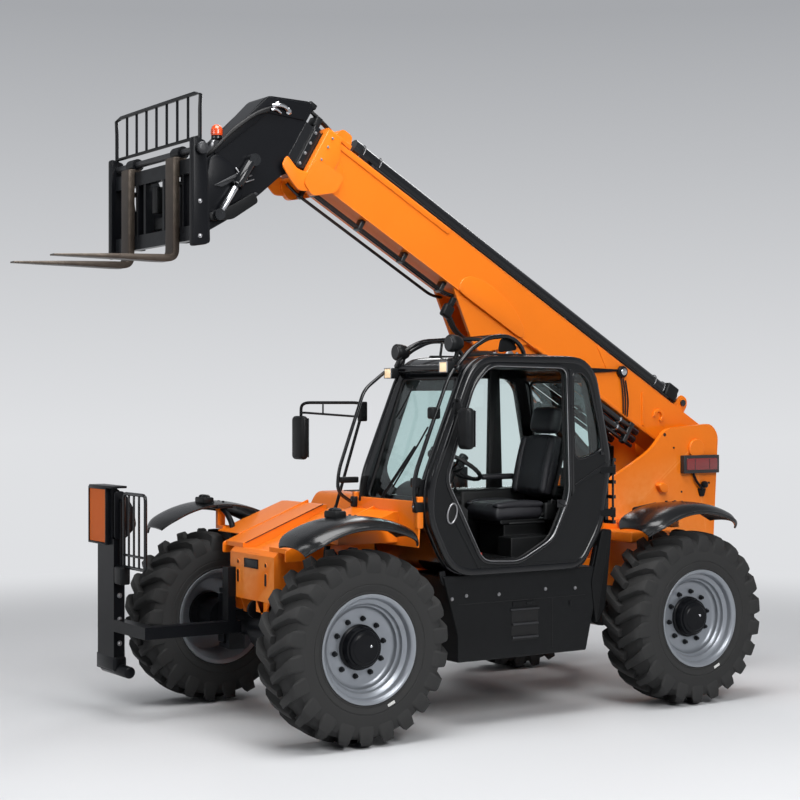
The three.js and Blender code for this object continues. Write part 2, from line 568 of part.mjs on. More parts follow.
node("boom_inner", cut(
  block(-slideHalf, slideHalf, -3960, -420, slideLow, slideHigh),
  block(-slideHalf + 12, slideHalf - 12, -3900, -400, slideLow + 12, slideHigh - 12),
), BLACK, boom);

// Gooseneck at the boom's end: two cheeks with plates between them, down to the tilt pivot.
const dy = CARRIAGE_Y - PIVOT_Y;
const dz = CARRIAGE_Z - PIVOT_Z;
const tiltY = dy * Math.cos(BOOM_ANGLE) - dz * Math.sin(BOOM_ANGLE);
const tiltZ = dy * Math.sin(BOOM_ANGLE) + dz * Math.cos(BOOM_ANGLE);
const NECK_HALF = 118;
const NECK = [
  [-3845, 215], [-3850, -50], [-3942, -194], [-4002, -369], [-4110, -640], [-4230, -850], [tiltY + 20, tiltZ - 80],
  [tiltY - 75, tiltZ - 40], [tiltY - 80, tiltZ + 40], [-4432, -560], [-4448, -440], [-4290, 206], [-3990, 370],
];
function neck() {
  const whole = plate(rounded(NECK, 40), -NECK_HALF, NECK_HALF);
  const tiltPin = barX(35, -NECK_HALF - 48, NECK_HALF + 48, tiltY, tiltZ, 20);
  const socket = block(-slideHalf - RUN, slideHalf + RUN, -3961, -3700, slideLow - 40, 500);
  return cut(whole, socket, block(-60, 60, -4600, -3900, -1100, -640)).add(tiltPin);
}
node("boom_head", neck(), BLACK, boom);

// ---- carriage: level at rest ----
const carriage = new THREE.Group();
carriage.position.set(0, CARRIAGE_Y, CARRIAGE_Z);
group.add(carriage);

function carriageFrame() {
  const bars = join(
    block(-CARRIAGE_HALF, CARRIAGE_HALF, -195, -150, 240, 330),
    block(-CARRIAGE_HALF, CARRIAGE_HALF, -195, -150, -170, -80),
  );
  const posts = join(...[1, -1].map((s) => {
    const outline = [[-215, -210], [-110, -190], [-120, 200], [-140, 430], [-215, 440]];
    return s > 0 ? plate(rounded(outline, 20), CARRIAGE_HALF - 45, CARRIAGE_HALF) : plate(rounded(outline, 20), -CARRIAGE_HALF, 45 - CARRIAGE_HALF);
  }));
  const ears = join(...[1, -1].map((s) => {
    const outline = [[-190, -170], [-40, -75], [60, -60], [70, 50], [-30, 90], [-130, 330], [-190, 330]];
    return s > 0 ? plate(rounded(outline, 30), NECK_HALF + RUN, NECK_HALF + 36) : plate(rounded(outline, 30), -NECK_HALF - 36, -NECK_HALF - RUN);
  }));
  const uprights = join(...[-330, 330].map((x) => block(x - 30, x + 30, -150.5, -110, -170, 330)));
  const whole = join(bars, posts, ears, uprights);
  return cut(whole, barX(35 + PIN_GAP, -400, 400, 0, 0, 20), barX(22 + GAP, -700, 700, -172, 380));
}
node("carriage_frame", carriageFrame(), BLACK, carriage);
node("fork_shaft", join(
  barX(22, -CARRIAGE_HALF - 30, CARRIAGE_HALF + 30, -172, 380),
), CHROME, carriage);

function backrest() {
  const y = -172;
  const low = 436 + GAP;
  const high = 720;
  const edge = CARRIAGE_HALF - 14;
  const frame = pipe(13, [[-edge, y, low + 0], [-edge, y, high - 30], [-edge + 30, y, high], [edge - 30, y, high],
    [edge, y, high - 30], [edge, y, low]], 6, 20);
  const rail = bar(11, [-edge, y, low + 14], [edge, y, low + 14], 10);
  const bars = [-3, -2, -1, 0, 1, 2, 3].map((i) => bar(9, [i * 150, y, low + 10], [i * 150, y, high], 8));
  return join(frame, rail, ...bars);
}
node("backrest_guard", backrest(), BLACK, carriage);

function fork() {
  const shank = plate([[-240, -290], [-240, 345], [-195 - GAP, 345], [-195 - GAP, -290]], -60, 60);
  const hookTop = plate([[-240, 330 + GAP], [-240, 352], [-150, 352], [-150, 330 + GAP]], -60, 60);
  const blade = plate([[-196, -290], [-196, -242], [-300, -245], [-FORK_REACH, -278], [-FORK_REACH, -290]], -60, 60);
  return join(shank, hookTop, blade);
}
for (const [hand, side] of [["left", 1], ["right", -1]]) {
  node(`fork_${hand}`, fork(), FORK_STEEL, carriage, [side * 330, 0, 0]);
}

// ---- lift cylinder: its own frame runs along the barrel from the foot pin ----
const eyeAt = new THREE.Vector2(
  PIVOT_Y - LIFT_EYE_ALONG * Math.cos(BOOM_ANGLE) - LIFT_EYE_DOWN * Math.sin(BOOM_ANGLE),
  PIVOT_Z + LIFT_EYE_ALONG * Math.sin(BOOM_ANGLE) - LIFT_EYE_DOWN * Math.cos(BOOM_ANGLE),
);
const liftSpan = Math.hypot(eyeAt.x - LIFT_FOOT_Y, eyeAt.y - LIFT_FOOT_Z);
const lift = new THREE.Group();
lift.position.set(0, LIFT_FOOT_Y, LIFT_FOOT_Z);
lift.rotation.x = -Math.atan2(eyeAt.y - LIFT_FOOT_Z, LIFT_FOOT_Y - eyeAt.x);
group.add(lift);
const BARREL_END = -1450;
node("lift_cylinder_barrel", cut(
  join(barX(52, -50, 50, 0, 0, 20), bar(46, [0, -30, 0], [0, -140, 0]), bar(62, [0, -125, 0], [0, BARREL_END, 0], 24)),
  barX(30 + PIN_GAP, -60, 60, 0, 0, 20),
  bar(34 + GAP, [0, -160, 0], [0, BARREL_END - 10, 0], 20),
), BLACK, lift);
node("lift_cylinder_rod", join(
  bar(34, [0, -520, 0], [0, -liftSpan + 40, 0], 20),
  barX(44, -46, 46, -liftSpan, 0, 20),
), CHROME, lift);

// ---- guard post at the right front ----
node("guard_post", join(
  block(-985, -715, -2200, -2120, 380, 1180),
  block(-1000, -760, -2200, -2120, 290, 390),
  plate([[-2200, 1170], [-2120, 1170], [-2120, 1480], [-2170, 1520], [-2200, 1520]], -1060, -740),
  block(-716, -220, -2200, -2120, 560, 640),
  block(-300, -220, -2150, NOSE_Y + 40, 560, 640),
  block(-300, -220, NOSE_Y - 60, NOSE_Y - GAP, 600, 1000),
  ...[970, 1440].map((z) => block(-745, -640, -2170, -2150, z - 10, z + 10)),
  ...[-690, -650].map((x) => bar(8, [x, -2160, 965], [x, -2160, 1445], 8)),
), BLACK);
node("guard_plate", block(-1070, -800, -2222, -2200 - GAP, 1150, 1510), ORANGE);

// ---- rear lamps ----
for (const [hand, side] of [["left", 1], ["right", -1]]) {
  const lamp = block(RAIL_X + GAP, RAIL_X + 40, 1990, 2320, 1560, 1650);
  node(`tail_lamp_${hand}`, side > 0 ? lamp : lamp.mirror([1, 0, 0]), LAMP_RED);
}

// The origin goes under the middle of the overall box.
const overall = new THREE.Box3().setFromObject(group, true);
const middle = overall.getCenter(new THREE.Vector3());
group.position.set(-middle.x, -middle.y, -overall.min.z);

export default group;
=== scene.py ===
"""Telescopic handler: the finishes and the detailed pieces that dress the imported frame.

Sizes in the classes are drawing millimetres: the machine faces -Y, its left side with the cab is +X,
and the front axle stands at y = -1350. Plan turns them into the frame's metres.
"""

import logging
import math
from collections.abc import Callable
from dataclasses import dataclass, field
from enum import Enum

import bmesh
import bpy
import numpy as np
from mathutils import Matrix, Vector


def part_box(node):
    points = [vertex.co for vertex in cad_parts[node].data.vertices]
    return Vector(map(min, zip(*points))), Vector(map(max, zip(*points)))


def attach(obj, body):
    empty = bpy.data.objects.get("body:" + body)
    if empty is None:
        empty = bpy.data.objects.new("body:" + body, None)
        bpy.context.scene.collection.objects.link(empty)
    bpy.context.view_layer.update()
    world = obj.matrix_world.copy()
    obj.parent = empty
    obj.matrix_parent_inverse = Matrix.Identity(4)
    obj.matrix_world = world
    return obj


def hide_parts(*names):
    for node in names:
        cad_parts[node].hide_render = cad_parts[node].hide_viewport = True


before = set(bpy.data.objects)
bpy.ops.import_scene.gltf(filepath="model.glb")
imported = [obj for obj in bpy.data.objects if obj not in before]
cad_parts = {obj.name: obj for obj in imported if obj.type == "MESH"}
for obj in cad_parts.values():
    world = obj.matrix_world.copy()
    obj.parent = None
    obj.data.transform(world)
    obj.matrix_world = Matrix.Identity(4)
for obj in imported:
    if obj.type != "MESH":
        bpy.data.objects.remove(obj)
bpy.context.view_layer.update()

LOG = logging.getLogger("telehandler")
Array = np.ndarray


class Body(str, Enum):
    """The moving bodies that pieces ride on."""

    CHASSIS = "chassis"
    DOOR = "door"
    BOOM = "boom"
    SLIDE = "boom_slide"
    CARRIAGE = "carriage"
    BARREL = "lift_barrel"
    ROD = "lift_rod"


class Axis(Enum):
    """Which way a slab is extruded or a profile is turned."""

    X = 0
    Y = 1
    Z = 2


# ---- numpy surfaces ----
@dataclass
class Form:
    """A mesh in drawing millimetres: vertices (n, 3) and faces as lists of vertex numbers."""

    verts: Array
    faces: list[list[int]]

    def moved(self, x: float = 0, y: float = 0, z: float = 0) -> "Form":
        """The same form shifted by x, y, z."""
        return Form(self.verts + np.array([x, y, z], float), self.faces)

    def pitched(self, degrees: float) -> "Form":
        """The same form turned about the X axis: y' = y cos - z sin, z' = y sin + z cos."""
        c, s = math.cos(math.radians(degrees)), math.sin(math.radians(degrees))
        return Form(self.verts @ np.array([[1, 0, 0], [0, c, s], [0, -s, c]]), self.faces)

    def mirrored(self) -> "Form":
        """The same form on the other side of the machine, with its faces turned round again."""
        return Form(self.verts * np.array([-1, 1, 1]), [face[::-1] for face in self.faces])


def joined(*forms: Form) -> Form:
    """Several forms as one.

    Args:
        *forms: The forms.

    Returns:
        One form with all their vertices and faces.
    """
    verts, faces, start = [], [], 0
    for form in forms:
        verts.append(form.verts)
        faces += [[i + start for i in face] for face in form.faces]
        start += len(form.verts)
    return Form(np.concatenate(verts), faces)


def grid(points: Array, wrap_u: bool = False, wrap_v: bool = False, caps: bool = False) -> Form:
    """A surface from a grid of points: the quad at (i, j) joins points i, i+1 along u and j, j+1 along v.

    Args:
        points: Array (u, v, 3).
        wrap_u: Whether the last row joins the first.
        wrap_v: Whether the last column joins the first.
        caps: Whether the first and last rows are closed with a face.

    Returns:
        The form.
    """
    nu, nv = points.shape[:2]
    i, j = np.meshgrid(np.arange(nu if wrap_u else nu - 1), np.arange(nv if wrap_v else nv - 1),
        indexing="ij")
    i2, j2 = (i + 1) % nu, (j + 1) % nv
    quads = np.stack([i * nv + j, i2 * nv + j, i2 * nv + j2, i * nv + j2], -1).reshape(-1, 4)
    faces = quads.tolist()
    if caps:
        faces.append(list(range(nv)))
        faces.append(list(range((nu - 1) * nv, nu * nv))[::-1])
    return Form(points.reshape(-1, 3), faces)


def smooth_path(points: list, radius: float = 40, steps: int = 6) -> Array:
    """A path whose corners are parabolas: (1-t)^2 A + 2t(1-t) P + t^2 B, with A and B radius away from
    corner P.

    Args:
        points: The corners.
        radius: How far from a corner its curve starts.
        steps: Points on each corner.

    Returns:
        The path, (n, 3) or (n, 2).
    """
    p = np.array(points, float)
    if len(p) < 3:
        return p
    before, corner, after = p[:-2], p[1:-1], p[2:]

    def towards(other: Array) -> Array:
        """The point a corner's radius along the way to another one, at most 0.45 of the way.

        Args:
            other: The other point.

        Returns:
            The point.
        """
        d = other - corner
        n = np.linalg.norm(d, axis=1, keepdims=True)
        return corner + d / n * np.minimum(radius, 0.45 * n)

    a, b = towards(before), towards(after)
    t = np.linspace(0, 1, steps)[None, :, None]
    curve = (1 - t) ** 2 * a[:, None] + 2 * t * (1 - t) * corner[:, None] + t**2 * b[:, None]
    return np.concatenate([p[:1], curve.reshape(-1, p.shape[1]), p[-1:]])


def rounded(points: list, radius: float = 30, steps: int = 6) -> Array:
    """A closed outline with parabola corners, as smooth_path makes them.

    Args:
        points: The corners.
        radius: How far from a corner its curve starts.
        steps: Points on each corner.

    Returns:
        The outline.
    """
    p = np.array(points, float)
    before, after = np.roll(p, 1, 0), np.roll(p, -1, 0)

    def towards(other: Array) -> Array:
        """The point a corner's radius along the way to another one, at most 0.45 of the way.

        Args:
            other: The other point.

        Returns:
            The point.
        """
        d = other - p
        n = np.linalg.norm(d, axis=1, keepdims=True)
        return p + d / n * np.minimum(radius, 0.45 * n)

    a, b = towards(before), towards(after)
    t = np.linspace(0, 1, steps)[None, :, None]
    return ((1 - t) ** 2 * a[:, None] + 2 * t * (1 - t) * p[:, None] + t**2 * b[:, None]).reshape(-1, 2)


def frames(path: Array, closed: bool = False) -> tuple[Array, Array, Array]:
    """Tangent, side and up vectors along a path; the side is the tangent crossed with the flattest
    fixed axis.

    Args:
        path: Array (n, 3).
        closed: Whether the last point joins the first.

    Returns:
        Three arrays (n, 3).
    """
    if closed:
        tangent = np.roll(path, -1, 0) - np.roll(path, 1, 0)
    else:
        tangent = np.gradient(path, axis=0)
    tangent /= np.linalg.norm(tangent, axis=1, keepdims=True) + 1e-12
    fixed = np.eye(3)[np.argmin(np.abs(tangent).max(0))]
    side = np.cross(tangent, fixed)
    side /= np.linalg.norm(side, axis=1, keepdims=True) + 1e-12
    return tangent, side, np.cross(side, tangent)


def swept(path: Array, section: Array, closed: bool = False, scale: Array | None = None) -> Form:
    """A section (a, b) carried along a path: point = path + a * side + b * up, times the scale at each
    station.

    Args:
        path: The stations, (n, 3).
        section: The outline (a, b), (m, 2).
        closed: Whether the path returns to its start.
        scale: A factor at each station, or None.

    Returns:
        The form, with its ends closed.
    """
    path = np.array(path, float)
    _, side, up = frames(path, closed)
    k = np.ones(len(path)) if scale is None else np.array(scale, float)
    points = path[:, None] + k[:, None, None] * (
        section[None, :, :1] * side[:, None] + section[None, :, 1:] * up[:, None])
    return grid(points, wrap_u=closed, wrap_v=True, caps=not closed)


def ring_section(radius: float, sides: int = 12) -> Array:
    """A circle of points, radius * (cos, sin)."""
    t = np.arange(sides) * 2 * np.pi / sides
    return radius * np.stack([np.cos(t), np.sin(t)], -1)


def box_section(width: float, height: float, radius: float = 4) -> Array:
    """A rectangle with rounded corners, centred on the path."""
    w, h = width / 2, height / 2
    return rounded([[-w, -h], [w, -h], [w, h], [-w, h]], radius, 4)


def tube(points: list, radius: float, bend: float = 40, sides: int = 12) -> Form:
    """A round tube along a list of points with soft corners and ends turned in by a quarter circle.

    Args:
        points: The corners of the middle line.
        radius: Half the thickness.
        bend: The corners' radius.
        sides: Faces round it.

    Returns:
        The tube.
    """
    path = smooth_path(points, bend)
    first, last = path[0], path[-1]
    a = (path[1] - first) / np.linalg.norm(path[1] - first)
    b = (path[-2] - last) / np.linalg.norm(path[-2] - last)
    r = radius * 0.3
    path = np.concatenate(
        [[first, first + a * r * 0.3, first + a * r], path[1:-1], [last + b * r, last + b * r * 0.3, last]])
    scale = np.ones(len(path))
    scale[[0, -1]], scale[[1, -2]] = 0.7, 0.9
    return swept(path, ring_section(radius, sides), scale=scale)


def turned(profile: list, at: tuple, axis: Axis = Axis.X, sides: int = 48) -> Form:
    """A profile of (radius, along) turned about an axis through a point: radius * (cos t, sin t)
    across, along on the axis.

    Args:
        profile: The (radius, along) pairs.
        at: The point on the axis.
        axis: The axis.
        sides: Faces round it.

    Returns:
        The form.
    """
    p = np.array(profile, float)
    t = np.arange(sides) * 2 * np.pi / sides
    across = p[:, None, :1] * np.stack([np.cos(t), np.sin(t)], -1)[None]
    along = np.broadcast_to(p[:, None, 1:], (len(p), sides, 1))
    points = np.concatenate([along, across], -1)
    points = np.roll(points, axis.value, -1)
    return grid(points + np.array(at, float), wrap_v=True, caps=True)


def slab(outline: Array | list, low: float, high: float, edge: float = 4, axis: Axis = Axis.X) -> Form:
    """A plate: its outline carried along an axis, with each rim drawn in along a quarter circle of the
    edge size.

    Args:
        outline: Points (n, 2), as (y, z) for X, (z, x) for Y and (x, y) for Z.
        low: Where the plate starts along the axis.
        high: Where it ends.
        edge: The rim's radius.
        axis: The way it is extruded.

    Returns:
        The form.
    """
    p = np.array(outline, float)
    area = np.sum(p[:, 0] * np.roll(p[:, 1], -1) - np.roll(p[:, 0], -1) * p[:, 1])
    if area < 0:
        p = p[::-1]
    keep = np.linalg.norm(p - np.roll(p, 1, 0), axis=1) > 0.2
    p = p[keep]
    ahead = np.roll(p, -1, 0) - p
    ahead /= np.linalg.norm(ahead, axis=1, keepdims=True)
    behind = np.roll(ahead, 1, 0)
    normal = np.stack([(ahead + behind)[:, 1], -(ahead + behind)[:, 0]], -1)
    normal /= np.linalg.norm(normal, axis=1, keepdims=True) + 1e-9
    edge = min(edge, (high - low) / 2.01)
    t = np.linspace(0, np.pi / 2, 4)
    inset = edge * np.concatenate([1 - np.sin(t), (1 - np.sin(t))[::-1]])
    along = np.concatenate([low + edge * (1 - np.cos(t)), (high - edge * (1 - np.cos(t)))[::-1]])
    ring = p[None] - normal[None] * inset[:, None, None]
    points = np.concatenate([np.broadcast_to(along[:, None, None], ring.shape[:2] + (1,)), ring], -1)
    return grid(np.roll(points, axis.value, -1), wrap_v=True, caps=True)


def block(low: tuple, high: tuple, edge: float = 6) -> Form:
    """A box whose edges are rounded: sign(n) * (half - edge) + edge * n for each direction n of a
    sphere grid.

    Args:
        low: Its lowest corner.
        high: Its highest corner.
        edge: The rounding.

    Returns:
        The box.
    """
    lo, hi = np.minimum(low, high).astype(float), np.maximum(low, high).astype(float)
    half = (hi - lo) / 2
    edge = min(edge, *(half * 0.98))
    quarter = np.linspace(0.0, np.pi / 2, 4)
    turn = np.concatenate([quarter, quarter + np.pi / 2, quarter + np.pi, quarter + 1.5 * np.pi])
    signs = np.repeat(np.array([[1, 1], [-1, 1], [-1, -1], [1, -1]], float), 4, 0)
    lift = np.concatenate([quarter - np.pi / 2, quarter])
    lift_sign = np.repeat([-1.0, 1.0], 4)
    n = np.stack([np.cos(lift)[:, None] * np.cos(turn)[None], np.cos(lift)[:, None] * np.sin(turn)[None],
            np.broadcast_to(np.sin(lift)[:, None], (8, 16)),], -1)
    s = np.stack([np.broadcast_to(signs[None, :, 0], (8, 16)), np.broadcast_to(signs[None, :, 1], (8, 16)),
            np.broadcast_to(lift_sign[:, None], (8, 16))], -1)
    points = (lo + hi) / 2 + s * (half - edge) + edge * n
    return grid(points[:, ::-1], wrap_v=True, caps=True)


def bolts(places: list, radius: float, height: float, axis: Axis = Axis.X, sign: int = 1) -> Form:
    """Hexagon bolt heads on a washer, standing on each place along an axis.

    Args:
        places: The feet of the heads.
        radius: Half of a head's width.
        height: A head's height.
        axis: The axis they stand along.
        sign: Which way along it.

    Returns:
        The heads.
    """
    forms = []
    for at in places:
        washer = turned(
            [[0, 0], [radius * 1.35, 0], [radius * 1.35, sign * height * 0.2], [0, sign * height * 0.2]],
            at, axis, 20)
        head = turned([[0, 0], [radius, 0], [radius, sign * height * 0.85], [radius * 0.8, sign * height],
                [0, sign * height]], at, axis, 6)
        forms += [washer, head]
    return joined(*forms)


# ---- shader node groups ----
class Groups:
    """The shader effects that several finishes share, each built once."""

    cache: dict[str, bpy.types.NodeTree] = {}

    @classmethod
    def start(cls, name: str, inputs: list[tuple[str, str, object]],
            outputs: list[tuple[str, str]]) -> bpy.types.NodeTree:
        """A new group with its sockets and its input and output nodes.

        Args:
            name: The group's name.
            inputs: Name, socket type and default of each input.
            outputs: Name and socket type of each output.

        Returns:
            The group.
        """
        tree = bpy.data.node_groups.new(name, "ShaderNodeTree")
        for label, kind, value in inputs:
            socket = tree.interface.new_socket(name=label, in_out="INPUT", socket_type=kind)
            socket.default_value = value
        for label, kind in outputs:
            tree.interface.new_socket(name=label, in_out="OUTPUT", socket_type=kind)
        tree.nodes.new("NodeGroupInput").name = "In"
        tree.nodes.new("NodeGroupOutput").name = "Out"
        cls.cache[name] = tree
        return tree

    @classmethod
    def edge_wear_and_highlight(cls) -> bpy.types.NodeTree:
        """Mixes a lighter edge colour in where the surface is sharply convex and a noise agrees: scuffing on
        most finishes, a painted highlight on the orange enamels and the tyres.

        Returns:
            The group.
        """
        if "edge wear" in cls.cache:
            return cls.cache["edge wear"]
        tree = cls.start("edge wear", [("Color", "NodeSocketColor", (0.5, 0.5, 0.5, 1)),
                ("Worn and lit", "NodeSocketColor", (0.3, 0.3, 0.3, 1)), ("Amount", "NodeSocketFloat", 0.3),
                ("Vector", "NodeSocketVector", (0, 0, 0))],
            [("Color", "NodeSocketColor"), ("Mask", "NodeSocketFloat")],)
        n, ln = tree.nodes, tree.links.new
        point = n.new("ShaderNodeNewGeometry")
        ramp = n.new("ShaderNodeMapRange")
        ramp.inputs["From Min"].default_value, ramp.inputs["From Max"].default_value = 0.53, 0.62
        noise = n.new("ShaderNodeTexNoise")
        noise.inputs["Scale"].default_value, noise.inputs["Detail"].default_value = 22.0, 4.0
        both = n.new("ShaderNodeMath")
        both.operation = "MULTIPLY"
        scaled = n.new("ShaderNodeMath")
        scaled.operation = "MULTIPLY"
        mix = n.new("ShaderNodeMix")
        mix.data_type = "RGBA"
        ln(point.outputs["Pointiness"], ramp.inputs["Value"])
        ln(n["In"].outputs["Vector"], noise.inputs["Vector"])
        ln(ramp.outputs[0], both.inputs[0])
        ln(noise.outputs["Fac"], both.inputs[1])
        ln(both.outputs[0], scaled.inputs[0])
        ln(n["In"].outputs["Amount"], scaled.inputs[1])
        ln(scaled.outputs[0], mix.inputs["Factor"])
        ln(n["In"].outputs["Color"], mix.inputs["A"])
        ln(n["In"].outputs["Worn and lit"], mix.inputs["B"])
        ln(mix.outputs["Result"], n["Out"].inputs["Color"])
        ln(scaled.outputs[0], n["Out"].inputs["Mask"])
        return tree

    @classmethod
    def grain(cls) -> bpy.types.NodeTree:
        """A fine grain over slow waves: its height, its roughness and a colour drift.

        Returns:
            The group.
        """
        if "grain" in cls.cache:
            return cls.cache["grain"]
        tree = cls.start("grain", [("Vector", "NodeSocketVector", (0, 0, 0)),
                ("Scale", "NodeSocketFloat", 300.0), ("Roughness", "NodeSocketFloat", 0.4),
                ("Spread", "NodeSocketFloat", 0.1)], [("Height", "NodeSocketFloat"),
                ("Roughness", "NodeSocketFloat"), ("Drift", "NodeSocketFloat")],)
        n, ln = tree.nodes, tree.links.new
        fine = n.new("ShaderNodeTexNoise")
        fine.inputs["Detail"].default_value = 3.0
        slow = n.new("ShaderNodeTexNoise")
        slow.inputs["Scale"].default_value, slow.inputs["Detail"].default_value = 2.6, 3.0
        centred = n.new("ShaderNodeMath")
        centred.operation = "SUBTRACT"
        centred.inputs[1].default_value = 0.5
        rough = n.new("ShaderNodeMath")
        rough.operation = "MULTIPLY_ADD"
        ln(n["In"].outputs["Vector"], fine.inputs["Vector"])
        ln(n["In"].outputs["Vector"], slow.inputs["Vector"])
        ln(n["In"].outputs["Scale"], fine.inputs["Scale"])
        ln(slow.outputs["Fac"], centred.inputs[0])
        ln(centred.outputs[0], rough.inputs[0])
        ln(n["In"].outputs["Spread"], rough.inputs[1])
        ln(n["In"].outputs["Roughness"], rough.inputs[2])
        ln(fine.outputs["Fac"], n["Out"].inputs["Height"])
        ln(rough.outputs[0], n["Out"].inputs["Roughness"])
        ln(slow.outputs["Fac"], n["Out"].inputs["Drift"])
        return tree

    @classmethod
    def dust(cls) -> bpy.types.NodeTree:
        """Mixes a dust colour in near the floor, broken by noise.

        Returns:
            The group.
        """
        if "dust" in cls.cache:
            return cls.cache["dust"]
        tree = cls.start("dust", [("Vector", "NodeSocketVector", (0, 0, 0)),
                ("Color", "NodeSocketColor", (0.5, 0.5, 0.5, 1)),
                ("Dust", "NodeSocketColor", (0.35, 0.32, 0.28, 1)), ("Amount", "NodeSocketFloat", 0.1)],
            [("Color", "NodeSocketColor"), ("Mask", "NodeSocketFloat")],)
        n, ln = tree.nodes, tree.links.new
        split = n.new("ShaderNodeSeparateXYZ")
        low = n.new("ShaderNodeMapRange")
        low.inputs["From Min"].default_value, low.inputs["From Max"].default_value = 1.3, 0.0
        noise = n.new("ShaderNodeTexNoise")
        noise.inputs["Scale"].default_value, noise.inputs["Detail"].default_value = 5.0, 5.0
        both = n.new("ShaderNodeMath")
        both.operation = "MULTIPLY"
        scaled = n.new("ShaderNodeMath")
        scaled.operation = "MULTIPLY"
        mix = n.new("ShaderNodeMix")
        mix.data_type = "RGBA"
        ln(n["In"].outputs["Vector"], split.inputs[0])
        ln(split.outputs["Z"], low.inputs["Value"])
        ln(n["In"].outputs["Vector"], noise.inputs["Vector"])
        ln(low.outputs[0], both.inputs[0])
        ln(noise.outputs["Fac"], both.inputs[1])
        ln(both.outputs[0], scaled.inputs[0])
        ln(n["In"].outputs["Amount"], scaled.inputs[1])
        ln(scaled.outputs[0], mix.inputs["Factor"])
        ln(n["In"].outputs["Color"], mix.inputs["A"])
        ln(n["In"].outputs["Dust"], mix.inputs["B"])
        ln(mix.outputs["Result"], n["Out"].inputs["Color"])
        ln(scaled.outputs[0], n["Out"].inputs["Mask"])
        return tree


@dataclass(frozen=True)
class Finish:
    """One surface finish. Colours are linear; scales are per metre; depths are metres."""

    name: str
    slot: str
    color: tuple[float, float, float]
    roughness: float = 0.4
    spread: float = 0.08
    metallic: float = 0.0
    coat: float = 0.0
    coat_roughness: float = 0.05
    grain_scale: float = 260.0
    grain_depth: float = 0.0
    drift: float = 0.12
    # The edge colour and its amount: scuffing on most finishes, a painted highlight on the orange enamels and
    # the tyres.
    worn_and_lit: tuple[float, float, float] = (0.4, 0.4, 0.4)
    wear: float = 0.0
    dust: float = 0.0
    transmission: float = 0.0
    ior: float = 1.5
    emission: float = 0.0
    sheen: float = 0.0
    specular: float = 0.5

    def material(self) -> bpy.types.Material:
        """The finish's material, made the first time that it is asked for.

        Returns:
            The material.
        """
        found = bpy.data.materials.get(self.name)
        if found:
            return found
        made = bpy.data.materials.new(self.name)
        made.use_nodes = True
        n, ln = made.node_tree.nodes, made.node_tree.links.new
        shader = n["Principled BSDF"]
        shader.inputs["Metallic"].default_value = self.metallic
        shader.inputs["IOR"].default_value = self.ior
        shader.inputs["Coat Weight"].default_value = self.coat
        shader.inputs["Coat Roughness"].default_value = self.coat_roughness
        shader.inputs["Transmission Weight"].default_value = self.transmission
        shader.inputs["Sheen Weight"].default_value = self.sheen
        shader.inputs["Specular IOR Level"].default_value = self.specular
        shader.inputs["Sheen Roughness"].default_value = 0.5
        place = n.new("ShaderNodeTexCoord")
        grain = n.new("ShaderNodeGroup")
        grain.node_tree = Groups.grain()
        grain.inputs["Scale"].default_value = self.grain_scale
        grain.inputs["Roughness"].default_value = self.roughness
        grain.inputs["Spread"].default_value = self.spread
        ln(place.outputs["Object"], grain.inputs["Vector"])
        tint = n.new("ShaderNodeMix")
        tint.data_type = "RGBA"
        tint.inputs["A"].default_value = (*[c * (1 - self.drift) for c in self.color], 1)
        tint.inputs["B"].default_value = (*[min(1.0, c * (1 + self.drift)) for c in self.color], 1)
        ln(grain.outputs["Drift"], tint.inputs["Factor"])
        color = tint.outputs["Result"]
        # The lighter edge colour: scuffing, and on the orange enamels and the tyres a painted highlight.
        if self.wear:
            wear = n.new("ShaderNodeGroup")
            wear.node_tree = Groups.edge_wear_and_highlight()
            wear.inputs["Worn and lit"].default_value = (*self.worn_and_lit, 1)
            wear.inputs["Amount"].default_value = self.wear
            ln(place.outputs["Object"], wear.inputs["Vector"])
            ln(color, wear.inputs["Color"])
            color = wear.outputs["Color"]
        if self.dust:
            dust = n.new("ShaderNodeGroup")
            dust.node_tree = Groups.dust()
            dust.inputs["Amount"].default_value = self.dust
            ln(place.outputs["Object"], dust.inputs["Vector"])
            ln(color, dust.inputs["Color"])
            color = dust.outputs["Color"]
        ln(color, shader.inputs["Base Color"])
        if self.transmission:
            shader.inputs["Roughness"].default_value = self.roughness
        else:
            ln(grain.outputs["Roughness"], shader.inputs["Roughness"])
        if self.grain_depth:
            bump = n.new("ShaderNodeBump")
            bump.inputs["Distance"].default_value = self.grain_depth
            bump.inputs["Strength"].default_value = 1.0
            ln(grain.outputs["Height"], bump.inputs["Height"])
            ln(bump.outputs["Normal"], shader.inputs["Normal"])
        if self.emission:
            shader.inputs["Emission Color"].default_value = (*self.color, 1)
            shader.inputs["Emission Strength"].default_value = self.emission
        return made


# The orange enamels' paler orange edge colour is a painted highlight on sharp edges.
ORANGE = Finish("orange_enamel", "orange_paint", (0.83, 0.185, 0.006), 0.38, 0.1, coat=0.22,
    coat_roughness=0.1, grain_scale=900, grain_depth=0.00006, drift=0.05, worn_and_lit=(0.98, 0.42, 0.13), wear=0.6,
    dust=0.02, specular=0.2)
